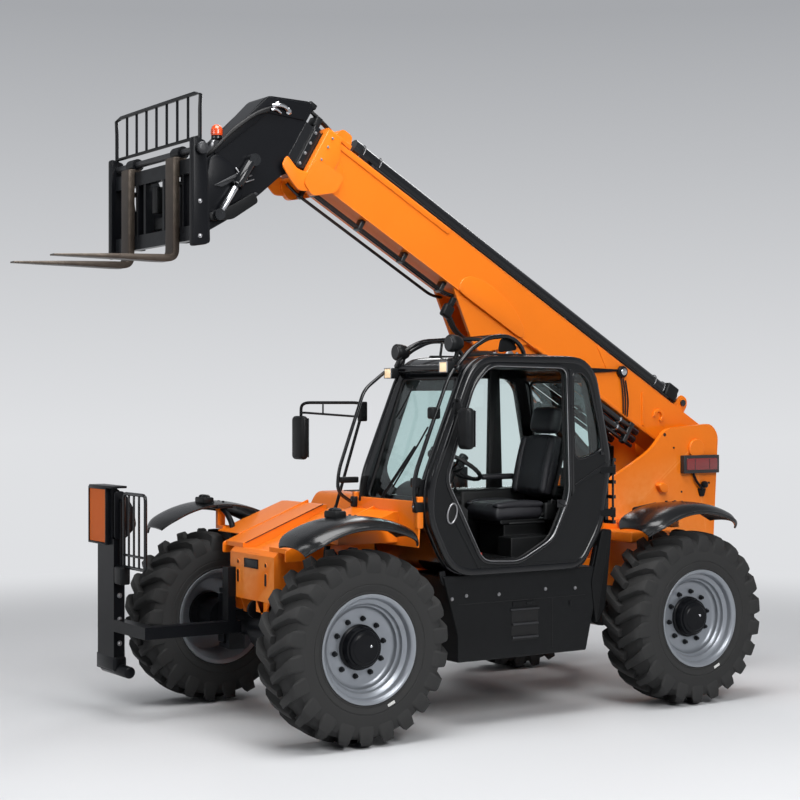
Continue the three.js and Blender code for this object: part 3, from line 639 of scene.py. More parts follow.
# A darker copy of the orange enamel: painted shade, used for the boom's arc slot and the guard plate.
ORANGE_PAINTED_SHADE = Finish("orange_enamel_shaded", "orange_paint", (0.66, 0.115, 0.004), 0.42, 0.1, coat=0.06,
    grain_scale=900, grain_depth=0.00006, drift=0.08, worn_and_lit=(0.9, 0.35, 0.1), wear=0.4, specular=0.12)
BLACK = Finish("black_enamel", "black_paint", (0.0055, 0.006, 0.0075), 0.3, 0.14, coat=0.04,
    coat_roughness=0.1, grain_scale=700, grain_depth=0.00008, worn_and_lit=(0.045, 0.05, 0.055), wear=0.35,
    dust=0.004, specular=0.1)
GLOSS = Finish("gloss_black_enamel", "black_paint", (0.004, 0.0044, 0.0055), 0.18, 0.08, coat=0.3,
    coat_roughness=0.05, grain_scale=900, grain_depth=0.00003, worn_and_lit=(0.05, 0.055, 0.06), wear=0.4,
    specular=0.25)
MOULDED = Finish("moulded_black", "black_plastic", (0.006, 0.0064, 0.007), 0.4, 0.12, grain_scale=1500,
    grain_depth=0.00016, worn_and_lit=(0.05, 0.055, 0.06), wear=0.5, dust=0.006, specular=0.14)
DOOR_BLACK = Finish("door_panel_black", "black_plastic", (0.0055, 0.006, 0.0068), 0.36, 0.1, coat=0.06,
    grain_scale=1300, grain_depth=0.00012, worn_and_lit=(0.06, 0.065, 0.07), wear=0.5, dust=0.006, specular=0.2)
FENDER = Finish("fender_black", "black_plastic", (0.005, 0.0055, 0.0062), 0.27, 0.1, coat=0.1,
    grain_scale=1200, grain_depth=0.0001, worn_and_lit=(0.06, 0.06, 0.06), wear=0.4, dust=0.01, specular=0.45)
# The tyre rubber's lighter edge colour is a painted sheen on the lug edges.
RUBBER = Finish("tyre_rubber", "tyre_rubber", (0.0042, 0.0041, 0.0038), 0.5, 0.2, grain_scale=420,
    grain_depth=0.0003, drift=0.25, worn_and_lit=(0.04, 0.039, 0.036), wear=0.3, dust=0.002, specular=0.14)
HOSE = Finish("hose_rubber", "black_paint", (0.005, 0.005, 0.0055), 0.48, 0.12, grain_scale=1300,
    grain_depth=0.0002, specular=0.3)
RIM = Finish("silver_enamel", "silver_rim", (0.25, 0.27, 0.3), 0.33, 0.08, metallic=0.5, coat=0.25,
    grain_scale=1600, grain_depth=0.00004, worn_and_lit=(0.6, 0.62, 0.65), wear=0.4, dust=0.05)
CHROME = Finish("chrome_plate", "chrome_rod", (0.5, 0.51, 0.53), 0.16, 0.08, metallic=1.0, grain_scale=1800,
    drift=0.05)
SATIN = Finish("satin_zinc", "chrome_rod", (0.3, 0.3, 0.31), 0.36, 0.12, metallic=0.9, grain_scale=900,
    grain_depth=0.00005)
SATIN_DARK = Finish("dark_satin", "black_paint", (0.03, 0.031, 0.034), 0.38, 0.12, metallic=0.3,
    grain_scale=900, grain_depth=0.00006, drift=0.2, specular=0.4)
FORK = Finish("forged_steel", "fork_steel", (0.04, 0.029, 0.022), 0.44, 0.2, metallic=0.5, grain_scale=120,
    grain_depth=0.0004, drift=0.4, worn_and_lit=(0.25, 0.21, 0.17), wear=0.9, specular=0.4)
GLASS = Finish("tinted_glass", "clear_glass", (0.76, 0.885, 0.875), 0.0, drift=0.0, transmission=1.0,
    ior=1.45)
LEATHER = Finish("seat_leather", "seat_leather", (0.0125, 0.013, 0.0145), 0.42, 0.12, grain_scale=620,
    grain_depth=0.0009, drift=0.15, sheen=0.05, specular=0.45)
CABIN = Finish("cabin_trim", "black_plastic", (0.006, 0.0065, 0.007), 0.5, 0.1, grain_scale=1400,
    grain_depth=0.0002, specular=0.35)
RED_LENS = Finish("red_lens", "lamp_red", (0.19, 0.012, 0.012), 0.22, coat=0.6, grain_scale=200,
    grain_depth=0.0003)
AMBER = Finish("amber_lens", "orange_paint", (0.75, 0.075, 0.008), 0.14, coat=0.8, grain_scale=150,
    grain_depth=0.0004)
LAMP = Finish("warm_lens", "clear_glass", (0.85, 0.66, 0.42), 0.2, emission=0.55, drift=0.02)
MIRROR = Finish("mirror_plate", "chrome_rod", (0.6, 0.62, 0.64), 0.05, metallic=1.0, drift=0.0)
# A light grey for the patch on the tyre walls: a painted sheen.
TYRE_SHEEN = Finish("tyre_sheen_patch", "silver_rim", (0.6, 0.6, 0.58), 0.7)
RED = Finish("red_enamel", "lamp_red", (0.5, 0.03, 0.015), 0.4)


# ---- where things go ----
@dataclass(frozen=True)
class Plan:
    """Turns drawing millimetres into the frame's metres: metres = mm / 1000 + shift, with the shift
    read off the wheels.
    """

    half_track: float = 962
    front_axle: float = -1350
    pivot: tuple[float, float] = (2100, 1740)
    boom_angle: float = 30.5
    tilt: tuple[float, float] = (-2050, 3250)

    def shift(self) -> Array:
        """The front left tyre's middle less its place in the drawing.

        Returns:
            The shift in metres.
        """
        lo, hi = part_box("tyre_front_left")
        middle = (np.array(lo) + np.array(hi)) / 2
        return np.array([middle[0] - self.half_track / 1000, middle[1] - self.front_axle / 1000, 0.0])

    def on_boom(self, form: Form) -> Form:
        """A form drawn in the boom's own frame (x, -along, up), put in its place."""
        return form.pitched(-self.boom_angle).moved(0, *self.pivot)

    def on_carriage(self, form: Form) -> Form:
        """A form drawn from the tilt pin, put in its place."""
        return form.moved(0, *self.tilt)


PLAN = Plan()
SHIFT = PLAN.shift()


def piece(name: str, form: Form, finish: Finish, body: str = Body.CHASSIS, replaces: tuple[str, ...] = (),
        smooth: float = 38, bevel: float = 0.0, level: int = 0) -> bpy.types.Object:
    """Makes a form into an object that rides on a body.

    Args:
        name: The piece's name.
        form: Its shape, in drawing millimetres.
        finish: Its finish.
        body: The body it rides on.
        replaces: The CAD nodes that it stands for.
        smooth: Edges sharper than this many degrees stay crisp.
        bevel: Width in millimetres of a bevel on the sharp edges, or 0.
        level: Subdivision level, or 0.

    Returns:
        The object.
    """
    mesh = bpy.data.meshes.new(name)
    mesh.from_pydata(form.verts / 1000 + SHIFT, [], form.faces)
    mesh.validate(clean_customdata=False)
    work = bmesh.new()
    work.from_mesh(mesh)
    bmesh.ops.remove_doubles(work, verts=work.verts, dist=1e-6)
    bmesh.ops.recalc_face_normals(work, faces=work.faces)
    work.to_mesh(mesh)
    work.free()
    return placed(name, mesh, finish, body, replaces, smooth, bevel, level)


def placed(name: str, mesh: bpy.types.Mesh, finish: Finish, body: str, replaces: tuple[str, ...],
        smooth: float, bevel: float, level: int) -> bpy.types.Object:
    """Gives a mesh its object, finish, shading and body; see piece for what each argument means.

    Returns:
        The object.
    """
    made = bpy.data.objects.new(name, mesh)
    bpy.context.scene.collection.objects.link(made)
    mesh.materials.clear()
    mesh.materials.append(finish.material())
    if level:
        sub = made.modifiers.new("round", "SUBSURF")
        sub.levels = sub.render_levels = level
    if bevel:
        mod = made.modifiers.new("edges", "BEVEL")
        mod.width, mod.segments, mod.limit_method = bevel / 1000, 3, "ANGLE"
        mod.angle_limit = math.radians(28)
        mod.harden_normals = True
    mesh.shade_smooth()
    mesh.set_sharp_from_angle(angle=math.radians(smooth))
    body = body.value if isinstance(body, Body) else body
    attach(made, body)
    if replaces:
        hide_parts(*replaces)
    LOG.info("%s: %d faces on %s", name, len(mesh.polygons), body)
    return made


def refined(node: str, finish: Finish, body: str, bevel: float = 4.0, name: str | None = None,
        smooth: float = 32) -> bpy.types.Object:
    """A copy of a CAD node with its flat faces merged and its edges rounded, standing for it.

    Args:
        node: The CAD node.
        finish: The copy's finish.
        body: The body it rides on.
        bevel: The rounding in millimetres.
        name: The copy's name, or None for the node's own with a suffix.
        smooth: Edges sharper than this many degrees stay crisp.

    Returns:
        The copy.
    """
    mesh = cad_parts[node].data.copy()
    mesh.name = name or f"{node}_shell"
    work = bmesh.new()
    work.from_mesh(mesh)
    bmesh.ops.remove_doubles(work, verts=work.verts, dist=2e-5)
    bmesh.ops.dissolve_limit(work, angle_limit=math.radians(0.8), verts=work.verts, edges=work.edges)
    work.to_mesh(mesh)
    work.free()
    for layer in list(mesh.attributes):
        if layer.name in ("custom_normal", "sharp_face", "sharp_edge"):
            mesh.attributes.remove(layer)
    return placed(name or f"{node}_shell", mesh, finish, body, (node,), smooth, bevel, 0)


# ---- wheels ----
@dataclass
class Wheel:
    """One wheel: a tyre with chevron lugs, a deep rim, a hub and its nuts. Lengths from the wheel's
    middle, side +1 is left.
    """

    end: str
    hand: str
    outer: float = 600
    lugs: int = 22
    lug_width: float = 62
    rim: float = 335
    hub: float = 132
    nuts: int = 10

    @property
    def side(self) -> int:
        """+1 on the machine's left, -1 on its right."""
        return 1 if self.hand == "left" else -1

    @property
    def middle(self) -> tuple[float, float, float]:
        """The wheel's middle in the drawing."""
        return (self.side * PLAN.half_track, PLAN.front_axle * (1 if self.end == "front" else -1),
            self.outer)

    def carcass(self) -> Form:
        """The tyre without lugs: its half section turned about the axle, with bead ribs on the wall.

        Returns:
            The carcass.
        """
        half = [[560, 0], [558, 60], [554, 120], [545, 158], [528, 180], [500, 190], [470, 194], [430, 196],
            [400, 195], [397, 192], [392, 192], [389, 195], [372, 192], [352, 186], [349, 189], [343, 189],
            [338, 184], [318, 178]]
        p = np.array(half)
        profile = np.concatenate([p[::-1] * [1, -1], p[1:]])
        profile = np.concatenate([profile, [[309, 150], [309, -150]]])
        t = np.arange(132) * 2 * np.pi / 132
        points = np.stack([np.broadcast_to(profile[:, None, 1], (len(profile), 132)),
                profile[:, None, 0] * np.cos(t), profile[:, None, 0] * np.sin(t)], -1)
        return grid(points, wrap_u=True, wrap_v=True)

    def lug_bars(self) -> Form:
        """All the lugs: a bevelled bar from the middle of the tread, over the shoulder and down the wall.

        A bar's middle line and its top line are tables of (x, r) along s, and its angle falls back with
        s^0.9. Each section is a profile of (across, height) between the two lines.

        Returns:
            The lugs.
        """
        s = np.linspace(0, 1, 13)
        line = np.array([[-12, 552], [22, 553], [56, 553], [90, 551], [120, 548], [146, 543], [165, 534],
                [178, 522], [185, 508], [188, 494], [190, 480], [191, 466], [191, 456]], float)
        top = np.array([[-12, 596], [22, 600], [56, 600], [90, 599], [120, 597], [148, 593], [176, 585],
                [196, 566], [201, 544], [202, 522], [201, 500], [198, 478], [193, 458]], float)
        width = self.lug_width * np.array(
            [0.82, 0.84, 0.86, 0.9, 0.95, 1.0, 1.06, 1.12, 1.16, 1.18, 1.18, 1.12, 1.0])
        sweep = np.radians(15.5) * np.concatenate(
            [s[:8] ** 0.9 / 0.53, np.full(5, s[7] ** 0.9 / 0.53 * 1.01)]) * 0.62
        profile = [(-0.62, 0.0), (-0.5, 0.82), (-0.44, 0.97), (-0.38, 1.0), (0.38, 1.0), (0.44, 0.97),
            (0.5, 0.82), (0.62, 0.0)]
        forms = []
        for side, phase in ((1, 0.0), (-1, 0.5)):
            for k in range(self.lugs):
                base = 2 * np.pi * (k + phase) / self.lugs
                columns = []
                for across, height in profile:
                    mid = line + (top - line) * height
                    slant = np.where(mid[:, 0] < 175, 0.72, 1.0)
                    angle = base - sweep + across * width * slant / mid[:, 1] * 1.25
                    columns.append(np.stack([side * (mid[:, 0] + across * width * 0.42 * (1 - slant) * 1.9),
                                mid[:, 1] * np.cos(angle), mid[:, 1] * np.sin(angle)], -1))
                forms.append(grid(np.stack(columns, 1), wrap_v=True, caps=True))
        return joined(*forms)

    def rim_shell(self) -> Form:
        """The rim: a lip, a stepped barrel and a disc with a rolled seat, turned about the axle."""
        rim = [[100, 48], [100, 58], [186, 60], [226, 62], [240, 66], [250, 78], [255, 96], [262, 100],
            [270, 108], [274, 128], [285, 136], [300, 142], [304, 152], [306, 172], [314, 184], [328, 190],
            [335, 191], [337, 187], [334, 182], [320, 178], [308, 166], [306, 150], [306, -150],
            [334, -184], [330, -191], [306, -176], [300, -150], [272, -110], [262, -40], [250, 40],
            [236, 48]]
        return turned(rim, (0, 0, 0), Axis.X, 96)

    def hub_body(self) -> Form:
        """The hub: a flange, a stepped drum with a shallow cap and a ring of cap screws.

        Returns:
            The hub.
        """
        drum = turned([[0, 20], [140, 20], [140, 74], [136, 78], [128, 80], [126, 118], [122, 124],
                [112, 127], [110, 136], [106, 141], [92, 144], [88, 147], [84, 150], [0, 151]], (0, 0, 0),
            Axis.X, 64)
        t = np.arange(12) * 2 * np.pi / 12 + 0.2
        screws = bolts([(124, 101 * math.cos(a), 101 * math.sin(a)) for a in t], 6, 9)
        back = turned([[0, -18], [118, -18], [132, -6], [150, 10], [150, 46], [0, 46]], (0, 0, 0), Axis.X,
            48)
        return joined(drum, screws, back)

    def wheel_nuts(self) -> Form:
        """The ring of wheel nuts on the disc."""
        t = np.arange(self.nuts) * 2 * np.pi / self.nuts + 0.16
        return bolts([(60, 176 * math.cos(a), 176 * math.sin(a)) for a in t], 13, 27)

    def label(self) -> Form:
        """A light patch low on the tyre's wall, just outside the rim: a painted sheen.

        Returns:
            The patch.
        """
        a = np.radians(-66)
        patch = slab(rounded([[-9, -27], [9, -27], [9, 27], [-9, 27]], 3), 193, 196.5, 1)
        c, s = math.cos(a), math.sin(a)
        turn = np.array([[1, 0, 0], [0, c, s], [0, -s, c]])
        return Form((patch.verts + np.array([0, 372, 0])) @ turn, patch.faces)

    def build(self) -> None:
        """Makes the wheel's pieces and puts them on their body."""
        tag, body = f"{self.end}_{self.hand}", f"wheel_{self.end}_{self.hand}"

        def put(form: Form) -> Form:
            """A left wheel's form on this wheel."""
            return (form if self.side > 0 else form.mirrored()).moved(*self.middle)

        piece(f"tyre_{tag}_tread", put(joined(self.carcass(), self.lug_bars())), RUBBER, body,
            (f"tyre_{tag}",), 30)
        piece(f"rim_{tag}_dish", put(self.rim_shell()), RIM, body, (f"rim_{tag}",), 40)
        piece(f"hub_{tag}", put(self.hub_body()), BLACK, body, smooth=35)
        piece(f"wheel_nuts_{tag}", put(self.wheel_nuts()), BLACK, body)
        dot = turned([[0, 0], [9, 0], [9, 5], [6, 8], [0, 9]], (149, 34, 14), Axis.X, 20)
        piece(f"grease_plug_{tag}", put(dot), CHROME, body)
        # The light patch on the wall by the rim is a painted sheen.
        piece(f"wall_sheen_{tag}", put(self.label()), TYRE_SHEEN, body)
        refined(f"knuckle_{tag}", BLACK, f"knuckle_{tag}", 5)


# ---- boom ----
@dataclass
class Boom:
    """The outer boom, its side ribs, lugs, top tube, pipes and hoses. Points are (along, up) from the
    pivot.
    """

    half: float = 140
    high: float = 254
    low: float = -76
    length: float = 3820

    def side_plate(self, outline: list, thick: float = 8, radius: float = 30, edge: float = 3,
            out: float = 0) -> Form:
        """A plate on both cheeks of the boom, from (along, up) points.

        Args:
            outline: Its (along, up) points.
            thick: Its thickness.
            radius: The corners' radius.
            edge: The rounding of its rims.
            out: Its gap to the cheek.

        Returns:
            Both plates.
        """
        p = rounded([[-b, h] for b, h in outline], radius)
        near = slab(p, self.half - 2 + out, self.half + thick + out, edge)
        return joined(near, near.mirrored())

    def crescent(self, inner: float, outer: float, start: float, end: float, centre: tuple, x0: float,
            x1: float) -> Form:
        """A curved strip: an arc of two radii about a centre, extruded between two planes.

        Args:
            inner: The inner radius.
            outer: The outer radius.
            start: The first angle in degrees.
            end: The last angle.
            centre: The centre (along, up).
            x0: The first plane.
            x1: The second plane.

        Returns:
            The strip.
        """
        t = np.radians(np.linspace(start, end, 28))
        ring = [np.stack([-(centre[0] + r * np.cos(t)), centre[1] + r * np.sin(t)], -1)
            for r in (inner, outer)]
        return slab(np.concatenate([ring[0], ring[1][::-1]]), x0, x1, min(3, abs(x1 - x0) / 3))

    def build(self) -> None:
        """Makes the boom's pieces."""
        on = PLAN.on_boom
        refined("boom_outer", ORANGE, Body.BOOM, 5)
        rib = self.side_plate([(2640, 208), (2640, 246), (3700, 246), (3700, 208)], 9, 18, 4)
        low_rib = self.side_plate([(250, -72), (250, -50), (1560, -50), (1600, -72)], 5, 8, 2)
        piece("boom_side_ribs", on(joined(rib, low_rib)), ORANGE, Body.BOOM)
        arc = [(1720, -84), (1736, -20), (1830, 44), (1960, 84), (2100, 100), (2240, 96), (2350, 58),
            (2392, -6), (2376, -84)]
        piece("boom_arc_plate", on(self.side_plate(arc, 10, 70, 5)), ORANGE, Body.BOOM)
        # The slot is a thin strip of darker orange: painted shade inside the slot.
        slot = self.crescent(318, 342, 52, 128, (2062, -292), self.half + 7.4, self.half + 8.6)
        piece("boom_arc_slot_shade", on(joined(slot, slot.mirrored())), ORANGE_PAINTED_SHADE, Body.BOOM)
        seams = [tube([(s * self.half, -240, h), (s * self.half, -3640, h)], 3.2, sides=8) for s in (1, -1)
            for h in (self.high - 3, self.low + 3)]
        piece("boom_weld_seams", on(joined(*seams)), ORANGE, Body.BOOM)
        collar = joined(self.side_plate(
                [(3812, -98), (3812, 270), (3700, 270), (3640, 150), (3640, -60), (3700, -98)], 26, 24, 6),
            self.side_plate([(3640, 60), (3640, 150), (3560, 90), (3560, 40)], 14, 20, 4),
            slab(rounded([[-3815, 268], [-3815, 284], [-3600, 284], [-3600, 250]], 8), -150, 150, 4),)
        piece("boom_collar", on(collar), ORANGE, Body.BOOM)
        hook = self.side_plate([(3990, -60), (3990, -140), (3880, -190), (3800, -214), (3640, -120),
                (3590, -40), (3590, 30), (3700, 64), (3760, -60), (3880, -96)], 12, 26, 5, 18)
        piece("boom_front_hook", on(hook), ORANGE, Body.BOOM)
        pads = [b for s in (1, -1) for b in (
                bolts([(s * (self.half + 24), -3760, h) for h in (-40, 60, 160, 230)], 9, 9, Axis.X, s),)]
        piece("boom_pad_bolts", on(joined(*pads)), SATIN, Body.BOOM)
        self.rear_details(on)
        self.top_tube(on)
        self.pipes(on)
        piece("lift_pin_caps", on(joined(*[turned(
                            [[0, 0], [38, 0], [38, s * 10], [30, s * 15], [0, s * 15]],
                            (s * 108, -1742, -229), Axis.X, 32) for s in (1, -1)])), SATIN, Body.BOOM)

    def rear_details(self, on: Callable[[Form], Form]) -> None:
        """The bracket and pin by the cab, the rear stiffeners and the eye bosses.

        Args:
            on: Turns a form into the boom's place.
        """
        eye = self.crescent(30, 52, -35, 215, (330, 96), self.half - 2, self.half + 16)
        stiff = self.side_plate([(560, 170), (548, 176), (410, -40), (430, -46)], 10, 4, 2)
        fold = self.side_plate([(830, 246), (1120, 246), (930, 130), (850, 170)], 6, 30, 3)
        piece("boom_rear_stiffeners", on(joined(eye, eye.mirrored(), stiff, fold)), ORANGE, Body.BOOM)
        arm = slab(rounded([[-840, 200], [-790, 216], [-1080, 24], [-1108, 52]], 14), self.half + 6,
            self.half + 20, 4)
        boss = turned([[0, self.half - 2], [44, self.half - 2], [44, self.half + 28], [38, self.half + 34],
                [0, self.half + 34]], (0, -812, 196), Axis.X, 40)
        piece("boom_hose_bracket", on(joined(arm, boss)), BLACK, Body.BOOM)
        cap = turned([[0, self.half + 30], [26, self.half + 30], [26, self.half + 40], [20, self.half + 44],
                [0, self.half + 44]], (0, -812, 196), Axis.X, 32)
        piece("boom_bracket_pin", on(cap), CHROME, Body.BOOM)
        self.belly_lines(on)
        drop = [tube([(self.half + 12, -800 + k * 26, 160), (self.half + 14, -706 + k * 30, 40),
                    (self.half + 10, -640 + k * 22, -66)], 5.5, 60, 10) for k in range(3)]
        piece("boom_drop_hoses", on(joined(*drop)), HOSE, Body.BOOM)

    def belly_lines(self, on: Callable[[Form], Form]) -> None:
        """The black steel lines and their saddles under the boom's rear half, one bundle a side.

        Args:
            on: Turns a form into the boom's place.
        """
        runs = [tube([(s * 122, -430, up), (s * 122, -1540, up)], r, sides=18) for s in (1, -1)
            for up, r in ((-112, 28), (-176, 28), (-226, 15))]
        saddles = [
            block((min(s * 96, s * 150), -a - 22, -246), (max(s * 96, s * 150), -a + 22, self.low + 2), 8)
            for s in (1, -1) for a in (520, 980, 1440)]
        piece("boom_belly_lines", on(joined(*runs, *saddles)), GLOSS, Body.BOOM)
        collars = [turned([[28, -8], [33, -6], [33, 6], [28, 8]], (s * 122, -a, up), Axis.Y, 24)
            for s in (1, -1) for a in (640, 1300) for up in (-112, -176)]
        piece("boom_belly_collars", on(joined(*collars)), CHROME, Body.BOOM)

    def top_tube(self, on: Callable[[Form], Form]) -> None:
        """The long black tube on top, its end blocks, clamps and the small line beside it.

        Args:
            on: Turns a form into the boom's place.
        """
        level = self.high + 70
        barrel = turned([[0, -3556], [58, -3556], [58, -3500], [54, -3496], [54, -330], [61, -322],
                [61, -204], [0, -204]], (44, 0, level), Axis.Y, 48)
        feet = [block((0, -y - 40, self.high), (88, -y + 40, level - 20), 8)
            for y in (290, 3460, 1600, 2500)]
        piece("boom_top_tube", on(joined(barrel, *feet)), GLOSS, Body.BOOM, ("boom_top_cylinder",))
        head = joined(block((-26, -330, level - 40), (114, -214, level + 72), 14),
            block((-14, -230, level - 30), (76, -176, level + 30), 12))
        piece("boom_tube_head", on(head), MOULDED, Body.BOOM)
        bands = []
        for y in (-352, -452, -3330, -3480):
            t = np.radians(np.linspace(-20, 200, 24))
            path = np.stack([44 + 61 * np.cos(t), np.full(24, float(y)), level + 61 * np.sin(t)], -1)
            bands.append(swept(path, box_section(9, 5, 1.5)))
        piece("boom_tube_bands", on(joined(*bands)), SATIN, Body.BOOM)
        line = [tube([(x, -300, self.high + 16), (x, -3400, self.high + 16)], 9, sides=10)
            for x in (112, 130)]
        clips = [block((100, -y - 14, self.high - 1), (139, -y + 14, self.high + 22), 4)
            for y in range(500, 3400, 480)]
        piece("boom_top_lines", on(joined(*line, *clips)), HOSE, Body.BOOM)
        lug = joined(*[slab(rounded([[-70, self.high - 8], [-190, self.high - 8], [-170, self.high + 128],
                            [-100, self.high + 134], [-66, self.high + 90]], 30), x, x + 14, 4)
                for x in (-28, 72)])
        piece("boom_rear_lugs", on(lug), ORANGE, Body.BOOM)
        eye = turned([[0, 92], [24, 92], [24, 102], [0, 104]], (0, -122, self.high + 78), Axis.X, 24)
        piece("boom_rear_lug_pin", on(eye), GLOSS, Body.BOOM)

    def pipes(self, on: Callable[[Form], Form]) -> None:
        """The two pipes under the boom with their clamps and the hose drop at the back.

        Args:
            on: Turns a form into the boom's place.
        """
        under = self.low - 60
        lines = [tube([(x, -3790, self.low - 40), (x, -3700, under), (x, -2420, under),
                    (x - 8, -2330, self.low - 20)], 11, 60) for x in (96, 62, -96)]
        clips = [block((44, -y - 16, under - 16), (112, -y + 16, self.low + 2), 5)
            for y in (3660, 3250, 2850, 2480)]
        clips.append(block((-112, -3676, under - 16), (-80, -3644, self.low + 2), 5))
        piece("boom_under_lines", on(joined(*lines, *clips)), GLOSS, Body.BOOM, ("boom_under_pipes",))
        block_end = joined(block((88, -2404, -290), (138, -2322, -196), 14),
            block((96, -2380, -200), (130, -2340, -130), 8))
        piece("boom_hose_joint", on(block_end), MOULDED, Body.BOOM)
        loop = [tube([(106 - k * 20, -2350, -240), (104 - k * 20, -2200, -330), (100 - k * 20, -2020, -300),
                    (100 - k * 20, -1900, -180), (100 - k * 20, -1840, -80)], 11, 90) for k in range(3)]
        piece("boom_hose_loop", on(joined(*loop)), HOSE, Body.BOOM)


